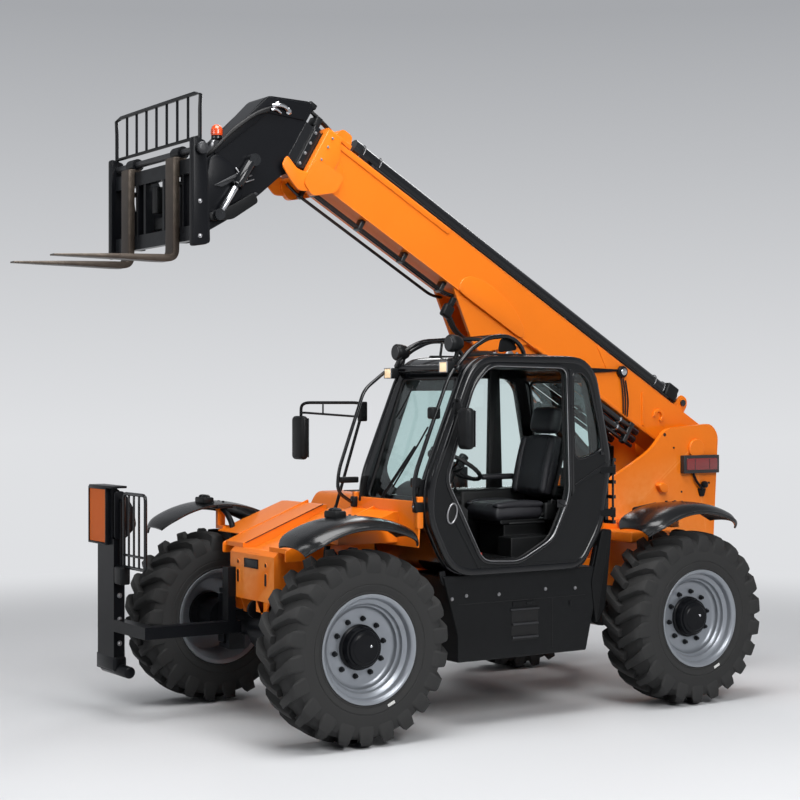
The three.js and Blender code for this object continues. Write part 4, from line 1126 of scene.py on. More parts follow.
@dataclass
class Head:
    """The gooseneck: the refined neck with cheeks, covers, fittings, tilt cylinder, hoses and beacon."""

    half: float = 118

    def build(self) -> None:
        """Makes the head's pieces."""
        on = PLAN.on_boom
        refined("boom_inner", GLOSS, Body.SLIDE, 3)
        refined("boom_head", BLACK, Body.SLIDE, 6)
        h = self.half

        def cheek(points: list, thick: float, radius: float = 40, out: float = 0, edge: float = 5) -> Form:
            """A plate on both cheeks from (along, up) points."""
            near = slab(rounded([[-b, u] for b, u in points], radius), h - 2 + out, h + thick + out, edge)
            return joined(near, near.mirrored())

        cover = cheek([(3992, 356), (4284, 198), (4438, -330), (4404, -344), (4226, 110), (3980, 226)], 9,
            8)
        boss = cheek([(4430, -390), (4410, -440), (4330, -692), (4250, -725), (4200, -640), (4100, -480),
                (4190, -330), (4400, -330)], 16, 50, 0, 8)
        piece("neck_cheeks", on(joined(cover, boss)), BLACK, Body.SLIDE)
        flange = joined(cheek([(3890, 226), (3890, -66), (3850, -66), (3850, 226)], 18, 10, 0, 4),
            slab(rounded([[-3896, 214], [-3846, 214], [-3846, 250], [-3896, 250]], 8), -h - 10, h + 10, 4))
        piece("neck_flange", on(flange), GLOSS, Body.SLIDE)
        studs = [bolts([(s * (h + 17), -3870, u) for u in (-40, 40, 120, 200)], 8, 9, Axis.X, s)
            for s in (1, -1)]
        piece("neck_bolts", on(joined(*studs)), SATIN, Body.SLIDE)
        barrel = joined(tube([(h + 34, -4176, -250), (h + 42, -4190, -440)], 36, 10, 28),
            tube([(h + 42, -4189, -428), (h + 42, -4191, -452)], 41, 10, 28))
        eye = turned([[0, h + 8], [40, h + 8], [40, h + 66], [0, h + 66]], (0, -4172, -230), Axis.X, 32)
        eye_low = turned([[0, h + 8], [36, h + 8], [36, h + 70], [0, h + 70]], (0, -4204, -676), Axis.X, 32)
        piece("tilt_barrel", on(joined(barrel, eye, eye_low)), GLOSS, Body.SLIDE)
        rod = tube([(h + 42, -4190, -440), (h + 42, -4202, -660)], 23, 10, 24)
        piece("tilt_rod", on(rod), CHROME, Body.SLIDE)
        guard = cheek([(4060, -400), (4150, -560), (4260, -700), (4230, -740), (4100, -640), (4000, -440)],
            26, 24, 10, 6)
        piece("tilt_guard", on(guard), MOULDED, Body.SLIDE)

        def lozenge(points: list) -> Form:
            """A small raised plate on the near cheek."""
            return slab(rounded([[-b, u] for b, u in points], 10), h + 12, h + 24, 4)

        panels = joined(lozenge([[4320, -526], [4205, -338], [4157, -320], [4266, -504]]),
            lozenge([[4146, -554], [4047, -391], [4022, -391], [4118, -558]]))
        piece("neck_panel", on(panels), SATIN_DARK, Body.SLIDE)
        self.fittings(on, h)

    def fittings(self, on: Callable[[Form], Form], h: float) -> None:
        """The pipe elbow on the cheek, the hoses along the neck and down to the carriage, and the beacon.

        Args:
            on: Turns a form into the boom's place.
            h: Half of the neck's width.
        """
        elbow = joined(tube(
                [(h + 18, -4118, 204), (h + 34, -4160, 206), (h + 34, -4206, 186), (h + 18, -4232, 160)],
                15, 20, 16),
            tube([(h + 12, -4150, 160), (h + 26, -4196, 160), (h + 26, -4226, 130)], 11, 20, 14),
            turned([[0, h], [24, h], [24, h + 20], [16, h + 26], [0, h + 26]], (0, -4110, 204), Axis.X, 6),
            turned([[0, h], [20, h], [20, h + 22], [14, h + 28], [0, h + 28]], (0, -4200, 196), Axis.X, 6),)
        piece("neck_fittings", on(elbow), CHROME, Body.SLIDE)
        runs = [tube([(h + 20, -4226 - k * 8, 150 - k * 26), (h + 24, -4300 - k * 10, 60 - k * 24),
                    (h + 20, -4390, -140 - k * 24), (h + 18, -4418, -270), (h + 6, -4438, -350 - k * 8),
                    (70 - k * 34, -4444, -386 - k * 8), (40 - k * 34, -4420, -436)], 12, 70, 12)
            for k in range(2)]
        back = [
            tube([(x, -3960, -150), (x, -4100, -330), (x, -4230, -560), (x + 6, -4300, -760)], 12, 90, 12)
            for x in (-60, -20, 20, 60)]
        piece("neck_hoses", on(joined(*runs, *back)), HOSE, Body.SLIDE)
        small = [tube([(h + 24, -4100 - k * 26, -330 + k * 14), (h + 44, -4150 - k * 26, -390 + k * 10),
                    (h + 24, -4200 - k * 24, -400 + k * 30)], 5, 20, 10) for k in range(3)]
        nuts = bolts([(h + 14, -4152 - k * 22, -352 - k * 12) for k in range(3)], 12, 14)
        piece("neck_small_pipes", on(joined(*small, nuts)), SATIN, Body.SLIDE)
        tail = [tube([(60, -3940, 340 - k * 4), (40 + k * 22, -3870, 330),
                    (30 + k * 22, -3780, 330 - k * 8), (30 + k * 20, -3650, 300)], 13, 60, 12)
            for k in range(2)]
        piece("slide_top_hoses", on(joined(*tail)), HOSE, Body.SLIDE)
        clamp = joined(block((-20, -3990, 350), (90, -3930, 388), 8),
            block((-10, -3900, 250), (100, -3850, 330), 10))
        piece("slide_top_clamp", on(clamp), MOULDED, Body.SLIDE)
        post = tube([(60, -4372, -200), (70, -4408, -214), (75, -4436, -228)], 15, 20, 12)
        stem = tube([(75, -4436, -236), (75, -4446, -272), (75, -4416, -304)], 11, 20, 12)
        seat = turned([[0, -12], [36, -12], [36, 2], [30, 8], [0, 8]], (0, 0, 0), Axis.Z, 32)
        dome = turned([[0, 8], [37, 8], [39, 20], [38, 46], [32, 64], [18, 76], [0, 80]], (0, 0, 0), Axis.Z,
            32)
        ribs = joined(*[turned([[36, z], [40.5, z + 2], [40.5, z + 5], [36, z + 7]], (0, 0, 0), Axis.Z, 32)
                for z in (16, 28, 40)])
        place = dict(x=75, y=-4436, z=-222)
        piece("beacon_arm", on(joined(post, stem)), SATIN, Body.SLIDE)
        piece("beacon_seat", on(seat.pitched(PLAN.boom_angle).moved(**place)), GLOSS, Body.SLIDE)
        piece("beacon_lens", on(joined(dome, ribs).pitched(PLAN.boom_angle).moved(**place)), AMBER,
            Body.SLIDE)


# ---- carriage ----
@dataclass
class Carriage:
    """The carriage, its shaft, backrest and forks, drawn from the tilt pin."""

    half: float = 625
    reach: float = 1000

    def fork(self, x: float) -> Form:
        """A fork: a tapering bar carried down the shank, round the heel and along the blade.

        The middle line is one smooth path; the section's width and height change along it by interpolation.

        Args:
            x: Its middle across the machine.

        Returns:
            The fork.
        """
        path = smooth_path([[x, -219, 345], [x, -219, -150], [x, -222, -268], [x, -330, -270],
                [x, -600, -272], [x, -self.reach, -280]], 90, 10)
        far = np.clip((-path[:, 1] - 330) / (self.reach - 330), 0, 1)
        thick = 44 - 34 * far
        wide = 120 - 52 * np.clip((far - 0.8) / 0.2, 0, 1) ** 1.5
        tangent, _, _ = frames(path)
        normal = np.stack([np.zeros(len(path)), -tangent[:, 2], tangent[:, 1]], -1)
        unit = rounded([[-0.5, -0.5], [0.5, -0.5], [0.5, 0.5], [-0.5, 0.5]], 0.12, 4)
        points = (path[:, None] + unit[None, :, :1] * wide[:, None, None] * np.array([1.0, 0, 0])
            + unit[None, :, 1:] * thick[:, None, None] * normal[:, None])
        return grid(points, wrap_v=True, caps=True)

    def build(self) -> None:
        """Makes the carriage's pieces."""
        on = PLAN.on_carriage
        h = self.half
        refined("carriage_frame", BLACK, Body.CARRIAGE, 5)
        refined("fork_shaft", SATIN_DARK, Body.CARRIAGE, 3)
        refined("backrest_guard", BLACK, Body.CARRIAGE, 1.5)
        posts = joined(*[slab(
                    rounded([[-228, -214], [-120, -196], [-128, 190], [-150, 432], [-228, 452]], 24),
                    s * (h - 22) - 26, s * (h - 22) + 26, 8) for s in (1, -1)])
        piece("carriage_posts", on(posts), BLACK, Body.CARRIAGE)
        gussets = joined(*[slab(rounded(
                        [[-200, -120], [-150, -150], [-116, -120], [-116, 60], [-150, 260], [-200, 260]],
                        20), x - 9, x + 9, 3) for x in (-430, -230, 230, 430)])
        braces = joined(tube([(-430, -138, -110), (430, -138, -110)], 24),
            tube([(-430, -140, 200), (-156, -140, 200)], 18),
            tube([(156, -140, 200), (430, -140, 200)], 18))
        piece("carriage_gussets", on(joined(gussets, braces)), BLACK, Body.CARRIAGE)
        nuts = joined(*[turned(
                    [[0, 0], [34, 0], [37, s * 5], [37, s * 24], [30, s * 30], [12, s * 31], [0, s * 31]],
                    (s * (h + 6), -172, 380), Axis.X, 40) for s in (1, -1)])
        piece("shaft_nuts", on(nuts), SATIN_DARK, Body.CARRIAGE)
        lower = joined(tube([(-h + 40, -166, 300), (h - 40, -166, 300)], 13, sides=16))
        piece("carriage_lock_bar", on(lower), CHROME, Body.CARRIAGE)
        caps = joined(*[turned([[0, 0], [30, 0], [30, s * 8], [0, s * 12]], (s * 154, 0, 0), Axis.X, 32)
                for s in (1, -1)])
        piece("tilt_pin_caps", on(caps), SATIN, Body.CARRIAGE)
        ends = [bolts([(s * (h + 4), -180, z) for z in (-150, 60)], 10, 9, Axis.X, s) for s in (1, -1)]
        piece("carriage_bolts", on(joined(*ends)), SATIN, Body.CARRIAGE)
        hoses = [
            tube([(x, -60, 60), (x + 10, 10, 130), (x + 20, -70, 190), (x + 30, -140, 200)], 11, 70, 12)
            for x in (-90, -50, 50, 84)]
        piece("carriage_hoses", on(joined(*hoses)), HOSE, Body.CARRIAGE)
        plate = joined(block((-36, -188, 40), (36, -130, 210), 10),
            block((-80, -150, -60), (80, -120, 20), 10))
        piece("coupler_block", on(plate), MOULDED, Body.CARRIAGE)
        ring = bolts([(x, -121, z) for x in (-56, 0, 56) for z in (-24,)], 12, 12, Axis.Y, 1)
        piece("coupler_fittings", on(ring), CHROME, Body.CARRIAGE)
        for hand, s in (("left", 1), ("right", -1)):
            hook = block((s * 330 - 58, -236, 320), (s * 330 + 58, -148, 352), 8)
            eye = turned([[0, -56], [40, -56], [40, 56], [0, 56]], (s * 330, -172, 380), Axis.X, 40)
            piece(f"fork_{hand}_arm", on(joined(self.fork(s * 330), hook)), FORK, Body.CARRIAGE,
                (f"fork_{hand}",), 50)
            piece(f"fork_{hand}_eye", on(eye), BLACK, Body.CARRIAGE, bevel=3)


# ---- cab ----
@dataclass
class Cab:
    """The cab: frame, roof guard, panes, lights, rails, wipers and what is inside."""

    inner: float = 190
    outer: float = 975
    outline: list = field(default_factory=lambda: [[-561, 990], [406, 990], [585, 1266], [660, 1696],
            [527, 2290], [410, 2395], [-400, 2395], [-520, 2310], [-823, 1592], [-838, 1357], [-690, 1062]])

    def hoop(self, x: float, width: float, depth: float, grow: float = 0) -> Form:
        """A rounded bar round the cab's side outline, drawn out from its middle by grow.

        Args:
            x: Its place across the machine.
            width: Its size across.
            depth: Its size in the outline's plane.
            grow: How far outside the outline it runs.

        Returns:
            The bar.
        """
        p = rounded(self.outline, 110, 8)
        middle = p.mean(0)
        far = p - middle
        p = middle + far * (1 + grow / np.linalg.norm(far, axis=1, keepdims=True))
        path = np.stack([np.full(len(p), x), p[:, 0], p[:, 1]], -1)
        keep = np.linalg.norm(path - np.roll(path, 1, 0), axis=1) > 1
        return swept(path[keep], box_section(width, depth, min(width, depth) * 0.42), closed=True)

    def build(self) -> None:
        """Makes the cab's pieces."""
        refined("cab_frame", GLOSS, Body.CHASSIS, 5)
        refined("cab_roof", GLOSS, Body.CHASSIS, 8)
        refined("cab_side_right", GLOSS, Body.CHASSIS, 8)
        for node in ("windscreen", "rear_window", "window_right"):
            refined(node, GLASS, Body.CHASSIS, 1.5, f"{node}_pane")
        hoops = joined(self.hoop(self.outer - 22, 48, 52, -16), self.hoop(self.inner + 20, 44, 46, -14))
        piece("cab_hoops", hoops, GLOSS, smooth=50)
        self.screen_trim()
        self.roof_guard()
        self.lights()
        self.rails()
        self.wipers()
        self.cabin()

    def screen_trim(self) -> None:
        """Rubber round the windscreen and the back pane, a sun visor and the black band under the screen."""
        x0, x1 = self.inner + 100, self.outer - 64
        ring = smooth_path([[x0 + 200, -826, 1462], [x0, -826, 1462], [x0, -534, 2252], [x1, -534, 2252],
                [x1, -826, 1462], [x0 + 199, -826, 1462]], 60, 8)
        back = smooth_path([[x0 + 200, 600, 1506], [x0, 600, 1506], [x0, 530, 2236], [x1 - 8, 530, 2236],
                [x1 - 8, 600, 1506], [x0 + 199, 600, 1506]], 60, 8)
        trim = joined(swept(ring[:-1], box_section(20, 16, 6), closed=True),
            swept(back[:-1], box_section(18, 16, 6), closed=True))
        piece("screen_rubber", trim, HOSE, smooth=50)
        visor = block((x0 + 10, -520, 2170), (x1 - 10, -500, 2262), 8)
        piece("sun_visor", visor.moved(0, -6, 0), CABIN)
        ends = []
        for x in (x0 - 30, x1 + 30):
            ends.append(slab(rounded([[-872, 1440], [-838, 1440], [-806, 1610], [-846, 1610]], 12), x - 14,
                    x + 14, 4))
        piece("screen_corners", joined(*ends), MOULDED)
        apron = slab(rounded([[-845, 1368], [-832, 1368], [-826, 1452], [-839, 1452]], 4), x0 - 60, x1 + 60,
            3)
        studs = bolts([(x, -842, 1384) for x in np.linspace(x0 - 30, x1 + 30, 7)], 7, 8, Axis.Y, -1)
        piece("screen_apron", joined(apron, studs), MOULDED)

    def roof_guard(self) -> None:
        """The bent tubes over the roof with the plate, feet and a vent."""
        arches = [tube([(270, -590, 2330), (290, -540, 2440), (330, -420, 2506), (620, -300, 2516),
                    (800, -290, 2512), (880, -300, 2500)], 15, 60, 14),
            tube([(930, -560, 2320), (935, -450, 2436), (935, -310, 2516), (935, -160, 2530),
                    (935, -80, 2500), (935, -30, 2450), (935, -10, 2398)], 15, 60, 14),
            tube([(270, -590, 2330), (262, -470, 2440), (262, -310, 2510), (262, -140, 2512),
                    (262, -60, 2450), (262, -20, 2398)], 15, 60, 14),
            tube([(262, -200, 2516), (600, -190, 2524), (935, -200, 2530)], 13, 60, 14),]
        struts = [tube([(x, -330, 2400), (x, -312, 2512)], 9, sides=10) for x in (420, 620)]
        piece("roof_guard", joined(*arches, *struts), GLOSS, smooth=60)
        plate = slab(rounded([[-210, 2420], [-190, 2516], [-90, 2516], [-50, 2440]], 30), 905, 915, 3)
        feet = joined(block((900, -300, 2390), (965, -20, 2414), 8),
            block((238, -300, 2390), (290, -20, 2414), 8))
        vent = turned([[0, 0], [120, 0], [120, 22], [100, 40], [60, 50], [0, 52]], (560, -90, 2392), Axis.Z,
            48)
        box = block((440, 60, 2388), (760, 330, 2420), 14)
        piece("roof_fittings", joined(plate, feet, vent, box), MOULDED)
        studs = bolts([(930, y, 2414) for y in (-250, -70)], 9, 10, Axis.Z, 1)
        piece("roof_bolts", studs, CHROME)
        brow = tube([(self.inner + 40, -548, 2310), (self.inner + 70, -560, 2318),
                (self.outer - 70, -560, 2318), (self.outer - 10, -548, 2310)], 24, 40, 16)
        piece("roof_brow", brow, GLOSS, smooth=60)

    def lights(self) -> None:
        """The two square work lamps and the two round ones above them, with their brackets."""
        cases, lenses, rims = [], [], []
        for x, z in ((250, 2290), (905, 2322)):
            y = -640
            cases.append(block((x - 44, y, z - 36), (x + 44, y + 62, z + 36), 12))
            cases.append(tube([(x, y + 40, z), (x, y + 80, z + 20)], 12))
            rims.append(joined(*[block((x - 44, y - 5, a), (x + 44, y + 4, b), 3)
                        for a, b in ((z - 36, z - 30), (z + 30, z + 36))],
                    *[block((a, y - 5, z - 36), (b, y + 4, z + 36), 3)
                        for a, b in ((x - 44, x - 38), (x + 38, x + 44))]))
            lenses.append(block((x - 38, y - 3, z - 30), (x + 38, y + 10, z + 30), 5))
        piece("work_lamp_cases", joined(*cases), MOULDED)
        piece("work_lamp_rims", joined(*rims), CHROME)
        piece("work_lamp_lenses", joined(*lenses), LAMP)
        rounds = []
        for x, z in ((252, 2432), (880, 2476)):
            shell = turned(
                [[0, -62], [50, -62], [56, -54], [58, -30], [52, 6], [38, 34], [20, 46], [0, 50]],
                (0, 0, 0), Axis.Y, 36)
            rounds.append(shell.moved(x, -520, z))
            rounds.append(tube([(x, -514, z - 40), (x, -520, z - 76), (x, -540, z - 110)], 13, 20))
            rounds.append(block((x - 34, -575, z - 150), (x + 34, -515, z - 96), 12))
        piece("round_lamps", joined(*rounds), MOULDED)
        faces = joined(*[turned([[0, -66], [44, -66], [46, -60], [0, -58]], (x, -520, z), Axis.Y, 36)
                for x, z in ((252, 2432), (880, 2476))])
        piece("round_lamp_faces", faces, SATIN_DARK)

    def rails(self) -> None:
        """The grab rails along both front pillars with their feet, and the small box on the near one."""
        near = tube(
            [(958, -880, 1420), (958, -905, 1500), (958, -896, 1640), (958, -640, 2250), (958, -590, 2310)],
            12, 60, 12)
        far = tube([(206, -880, 1420), (206, -1010, 1500), (206, -1000, 1640), (206, -800, 2180),
                (206, -620, 2310)], 12, 60, 12)
        inner_near = tube([(925, -868, 1500), (925, -862, 1640), (925, -622, 2230)], 8, 60, 10)
        piece("grab_rails", joined(near, far, inner_near), GLOSS, smooth=60)
        feet = [block((930, -900, 1400), (975, -826, 1470), 10),
            block((186, -900, 1400), (232, -826, 1470), 10),
            block((915, -905, 1560), (970, -850, 1620), 10), block((186, -985, 1560), (222, -850, 1600), 8)]
        caps = block((905, -770, 1990), (968, -700, 2066), 14)
        stems = tube([(936, -735, 1990), (925, -745, 1920), (930, -790, 1880)], 8, 20)
        piece("rail_feet", joined(*feet, caps, stems), MOULDED)
        studs = bolts([(x, -902, 1440) for x in (952, 208)], 8, 8, Axis.Y, -1)
        piece("rail_bolts", studs, CHROME)

    def wipers(self) -> None:
        """The long wiper and the short one, lying on the sloping screen."""

        def on_screen(x: float, z: float, off: float = 14) -> tuple:
            """A point on the screen's plane, which leans back 20 degrees, at an offset in front."""
            return (x, -818 + (z - 1455) * (284 / 793) - off, z + 2)

        arm = tube([on_screen(470, 1440, 24), on_screen(500, 1500, 30), on_screen(690, 1810, 22)], 7, 40,
            10)
        arm2 = tube([on_screen(490, 1440, 24), on_screen(520, 1500, 28), on_screen(700, 1800, 20)], 4, 40,
            8)
        blade = tube([on_screen(560, 1540, 14), on_screen(700, 1810, 13), on_screen(760, 1935, 14)], 6, 10,
            8)
        short = tube([on_screen(350, 1990, 12), on_screen(400, 2090, 12), on_screen(440, 2200, 12)], 6, 10,
            8)
        hub = turned([[0, 0], [26, 0], [26, -26], [16, -34], [0, -36]], (470, -828, 1428), Axis.Y, 28)
        piece("wipers", joined(arm, arm2, blade, short, hub), MOULDED)

    def cabin(self) -> None:
        """The floor mat, console, pedals, levers, dash pods, steering wheel, headlining and the small
        red item.
        """
        mat = slab(rounded([[300, -470], [930, -470], [930, 380], [300, 380]], 20), 1062, 1072, 4, Axis.Z)
        ribs = [block((320, y, 1071), (900, y + 12, 1077), 2) for y in range(-440, -80, 36)]
        piece("floor_mat", joined(mat, *ribs), CABIN)
        refined("dashboard", CABIN, Body.CHASSIS, 14)
        hood = slab(rounded(
                [[-690, 1470], [-690, 1530], [-600, 1580], [-480, 1560], [-440, 1500], [-440, 1440]], 40),
            420, 760, 20)
        dials = joined(*[turned([[0, 0], [34, 0], [36, 5], [30, 9], [0, 6]], (x, -452, 1504), Axis.Y, 28)
                for x in (500, 590, 680)])
        piece("dash_pod", joined(hood, dials), CABIN)
        refined("seat_base", CABIN, Body.CHASSIS, 8)
        bellows = joined(*[
                block((455 - k % 2 * 8, -5 - k % 2 * 8, z), (705 + k % 2 * 8, 315 + k % 2 * 8, z + 26), 10)
                for k, z in enumerate(range(1110, 1270, 24))])
        piece("seat_bellows", bellows, HOSE)
        console = joined(block((250, -140, 1064), (390, 420, 1500), 30),
            block((260, -200, 1400), (380, 20, 1470), 24))
        lever = joined(tube([(320, -120, 1450), (316, -150, 1560), (322, -168, 1610)], 9, 30),
            block((296, -200, 1596), (346, -142, 1690), 22))
        piece("side_console", joined(console, lever), CABIN)
        knobs = joined(*[turned([[0, 0], [13, 0], [16, 12], [13, 30], [0, 34]],
                    (300 + 30 * (k % 3), -60 + 60 * (k // 3), 1470), Axis.Z, 18) for k in range(6)])
        piece("console_knobs", knobs, SATIN_DARK)
        pedals = joined(*[joined(tube([(x, -430, 1230), (x, -400, 1130)], 9),
                    block((x - 34, -404, 1090), (x + 34, -376, 1180), 10)) for x in (480, 690)])
        piece("pedals", pedals, SATIN_DARK)
        item = joined(block((700, -330, 1074), (800, -250, 1110), 14),
            turned([[0, 0], [20, 0], [20, 30], [12, 40], [0, 42]], (740, -290, 1106), Axis.Z, 24))
        piece("floor_switch", item, RED)
        pillar = slab(rounded([[214, 2330], [296, 2330], [322, 1480], [196, 1480]], 10), 214, 250, 8)
        piece("far_pillar_trim", pillar, CABIN)
        lining = slab(rounded([[-480, 2322], [-480, 2340], [470, 2340], [470, 2322]], 6), self.inner + 60,
            self.outer - 16, 4)
        piece("headlining", lining, CABIN)
        self.steering()

    def steering(self) -> None:
        """The steering wheel: a grooved ring leaning with its column, three spokes, a hub and a spinner
        knob.
        """
        lean = -math.degrees(math.atan2(180, 296))
        t = np.arange(72) * 2 * np.pi / 72
        s = np.arange(14) * 2 * np.pi / 14
        tube_radius = 14.5 + 1.0 * np.cos(24 * t)[:, None]
        radius = 184 + tube_radius * np.cos(s)
        points = np.stack([radius * np.cos(t)[:, None], radius * np.sin(t)[:, None],
                np.broadcast_to(tube_radius * np.sin(s), radius.shape)], -1)
        ring = grid(points, wrap_u=True, wrap_v=True)
        spokes = [tube([(30 * math.cos(a), 30 * math.sin(a), -12),
                    (100 * math.cos(a), 100 * math.sin(a), -20), (184 * math.cos(a), 184 * math.sin(a), 0)],
                10, 40) for a in np.radians([90, 210, 330])]
        hub = turned([[0, -30], [46, -30], [50, -16], [44, 4], [30, 14], [0, 16]], (0, 0, 0), Axis.Z, 32)
        knob = turned([[0, 10], [12, 10], [12, 26], [24, 34], [26, 52], [18, 62], [0, 66]], (0, 0, 0),
            Axis.Z, 24).moved(-122, -122, 0)
        wheel = joined(ring, *spokes, hub, knob).pitched(lean).moved(580, -320, 1676)
        column = joined(tube([(580, -490, 1396), (580, -330, 1660)], 30, sides=20),
            tube([(580, -470, 1430), (580, -400, 1545)], 44, sides=20))
        stalks = joined(tube([(580, -350, 1630), (700, -360, 1650), (740, -370, 1670)], 6, 20),
            tube([(580, -350, 1630), (460, -360, 1650), (430, -365, 1660)], 6, 20))
        piece("steering_wheel", joined(wheel, column, stalks), CABIN, Body.CHASSIS, ("steering_column",),
            50)


@dataclass
class Seat:
    """The driver's seat: a pan cushion, a backrest with bolsters and a headrest, each swollen by a
    short cloth run.
    """

    voxel: float = 0.011
    frames: int = 14

    def crowned(self, low: tuple, high: tuple, crown: float, edge: float) -> Form:
        """A cushion block whose top and front are crowned: each point moves out by crown * (1-u^2)(1-v^2).

        Args:
            low: Its lowest corner.
            high: Its highest corner.
            crown: The most that a point moves out.
            edge: The rounding.

        Returns:
            The block.
        """
        lo, hi = np.array(low, float), np.array(high, float)
        n = 26
        t = np.linspace(-1, 1, n)
        u, v = np.meshgrid(t, t, indexing="ij")
        half, mid = (hi - lo) / 2, (hi + lo) / 2
        squircle = 1 - 0.09 * (u**2 * v**2)
        x = mid[0] + half[0] * u * squircle
        y = mid[1] + half[1] * v * squircle
        rim = np.clip(np.minimum((1 - np.abs(u)) * half[0], (1 - np.abs(v)) * half[1]) / edge, 0, 1)
        drop = edge * (1 - np.sqrt(np.clip(1 - (1 - rim) ** 2, 0, 1)))
        top = hi[2] - drop + crown * (1 - u**2) * (1 - v**2)
        bottom = lo[2] + drop * 0.6
        upper = grid(np.stack([x, y, top], -1))
        lower = grid(np.stack([x, y, bottom], -1)[::-1])
        side = np.concatenate([np.arange(n) * n, (n - 1) * n + np.arange(1, n),
                np.arange(n - 2, -1, -1) * n + n - 1, np.arange(n - 2, 0, -1)])
        flat_top, flat_low = np.stack([x, y, top], -1).reshape(-1, 3), np.stack([x, y, bottom],
            -1).reshape(-1, 3)
        wall = grid(np.stack([flat_low[side], flat_top[side]]), wrap_v=True)
        return joined(upper, lower, wall)

    def puffed(self, name: str, form: Form, cap: float, replaces: tuple[str, ...],
            seams: list[Form]) -> None:
        """Makes a padded piece and lets a short cloth run swell it, each vertex held to within cap
        metres of its start.

        Args:
            name: The piece's name.
            form: Its shape before it swells.
            cap: The most that a vertex moves, in metres.
            replaces: The CAD nodes that it stands for.
            seams: Beads that lie on it.
        """
        made = piece(name, form, LEATHER, Body.CHASSIS, replaces, 70)
        remesh = made.modifiers.new("even", "REMESH")
        remesh.mode, remesh.voxel_size = "VOXEL", self.voxel
        self.settle(made)
        start = np.empty(len(made.data.vertices) * 3, np.float32)
        made.data.vertices.foreach_get("co", start)
        cloth = made.modifiers.new("swell", "CLOTH")
        cloth.settings.use_pressure = True
        cloth.settings.uniform_pressure_force = 4
        cloth.settings.effector_weights.gravity = 0
        cloth.settings.quality = 4
        cloth.point_cache.frame_start, cloth.point_cache.frame_end = 1, self.frames
        for step in range(1, self.frames + 1):
            bpy.context.scene.frame_set(step)
        self.settle(made)
        bpy.context.scene.frame_set(1)
        end = np.empty(len(start), np.float32)
        made.data.vertices.foreach_get("co", end)
        move = (end - start).reshape(-1, 3)
        length = np.linalg.norm(move, axis=1, keepdims=True)
        move *= np.minimum(1, cap / np.maximum(length, 1e-9))
        made.data.vertices.foreach_set("co", (start.reshape(-1, 3) + move).astype(np.float32).ravel())
        soft = made.modifiers.new("relax", "SMOOTH")
        soft.iterations, soft.factor = 4, 0.5
        self.settle(made)
        made.data.materials.clear()
        made.data.materials.append(LEATHER.material())
        made.data.shade_smooth()
        if seams:
            piece(f"{name}_seams", joined(*seams), HOSE)

    @staticmethod
    def settle(made: bpy.types.Object) -> None:
        """Applies an object's modifiers by taking its evaluated mesh.

        Args:
            made: The object.
        """
        graph = bpy.context.evaluated_depsgraph_get()
        mesh = bpy.data.meshes.new_from_object(made.evaluated_get(graph))
        made.modifiers.clear()
        old = made.data
        made.data = mesh
        bpy.data.meshes.remove(old)

    def build(self) -> None:
        """Makes the seat's pieces."""
        pan = joined(self.crowned((378, -142, 1316), (782, 322, 1404), 16, 34))
        self.puffed("seat_pan", pan, 0.012, ("seat_cushion",), [])
        bolsters = [self.crowned((a, -120, 1388), (a + 84, 300, 1424), 12, 26) for a in (384, 692)]
        for k, form in enumerate(bolsters):
            self.puffed(f"seat_bolster_{k + 1}", form, 0.01, (), [])
        lean = 14.0

        def upright(form: Form) -> Form:
            """A form drawn flat (x, height, depth forward) stood on the seat and leaned back."""
            stood = Form(np.stack([form.verts[:, 0], -form.verts[:, 2], form.verts[:, 1]], -1), form.faces)
            return stood.pitched(-lean).moved(0, 350, 1424)

        back = upright(self.crowned((392, 12, -18), (768, 470, 66), 14, 36))
        self.puffed("seat_back", back, 0.012, ("seat_backrest",), [])
        for k, a in enumerate((396, 700)):
            self.puffed(f"seat_wing_{k + 1}", upright(self.crowned((a, 30, 50), (a + 64, 440, 92), 10, 24)),
                0.01, (), [])
        rest = upright(self.crowned((446, 462, -14), (714, 648, 80), 16, 40))
        self.puffed("seat_headrest", rest, 0.012, (), [])
        seams = [upright(tube([(468, h, 76), (580, h + 3, 82), (692, h, 76)], 2.4, sides=8))
            for h in (150, 260, 370)]
        seams += [upright(tube([(x, 40, 74), (x, 430, 78)], 2.4, sides=8)) for x in (472, 688)]
        seams += [tube([(x, -132, 1412), (x, 280, 1422)], 2.4, sides=8) for x in (474, 686)]
        seams += [tube([(474, y, 1422), (580, y, 1426), (686, y, 1422)], 2.4, sides=8)
            for y in (-60, 60, 170)]
        piece("seat_piping", joined(*seams), HOSE)
        posts = joined(*[upright(tube([(x, 460, 26), (x, 500, 26)], 8, sides=14)) for x in (530, 630)])
        piece("headrest_posts", posts, CHROME)
        shell = upright(joined(self.crowned((400, 20, -42), (760, 462, -14), -6, 20)))
        piece("seat_shell", shell, CABIN, smooth=60)
        frame_bits = joined(tube([(776, 250, 1330), (800, 300, 1380), (800, 330, 1440)], 9, 20),
            tube([(800, -40, 1290), (800, 260, 1290)], 8), block((776, 260, 1300), (812, 360, 1420), 14))
        belt = slab(rounded([[300, 1404], [352, 1404], [360, 1432], [300, 1432]], 8), 786, 806, 4)
        piece("seat_side_frame", joined(frame_bits, belt), CABIN)
        arm = joined(block((330, 60, 1560), (376, 340, 1600), 18),
            tube([(353, 330, 1580), (372, 350, 1500)], 12))
        piece("seat_armrest", arm, LEATHER)


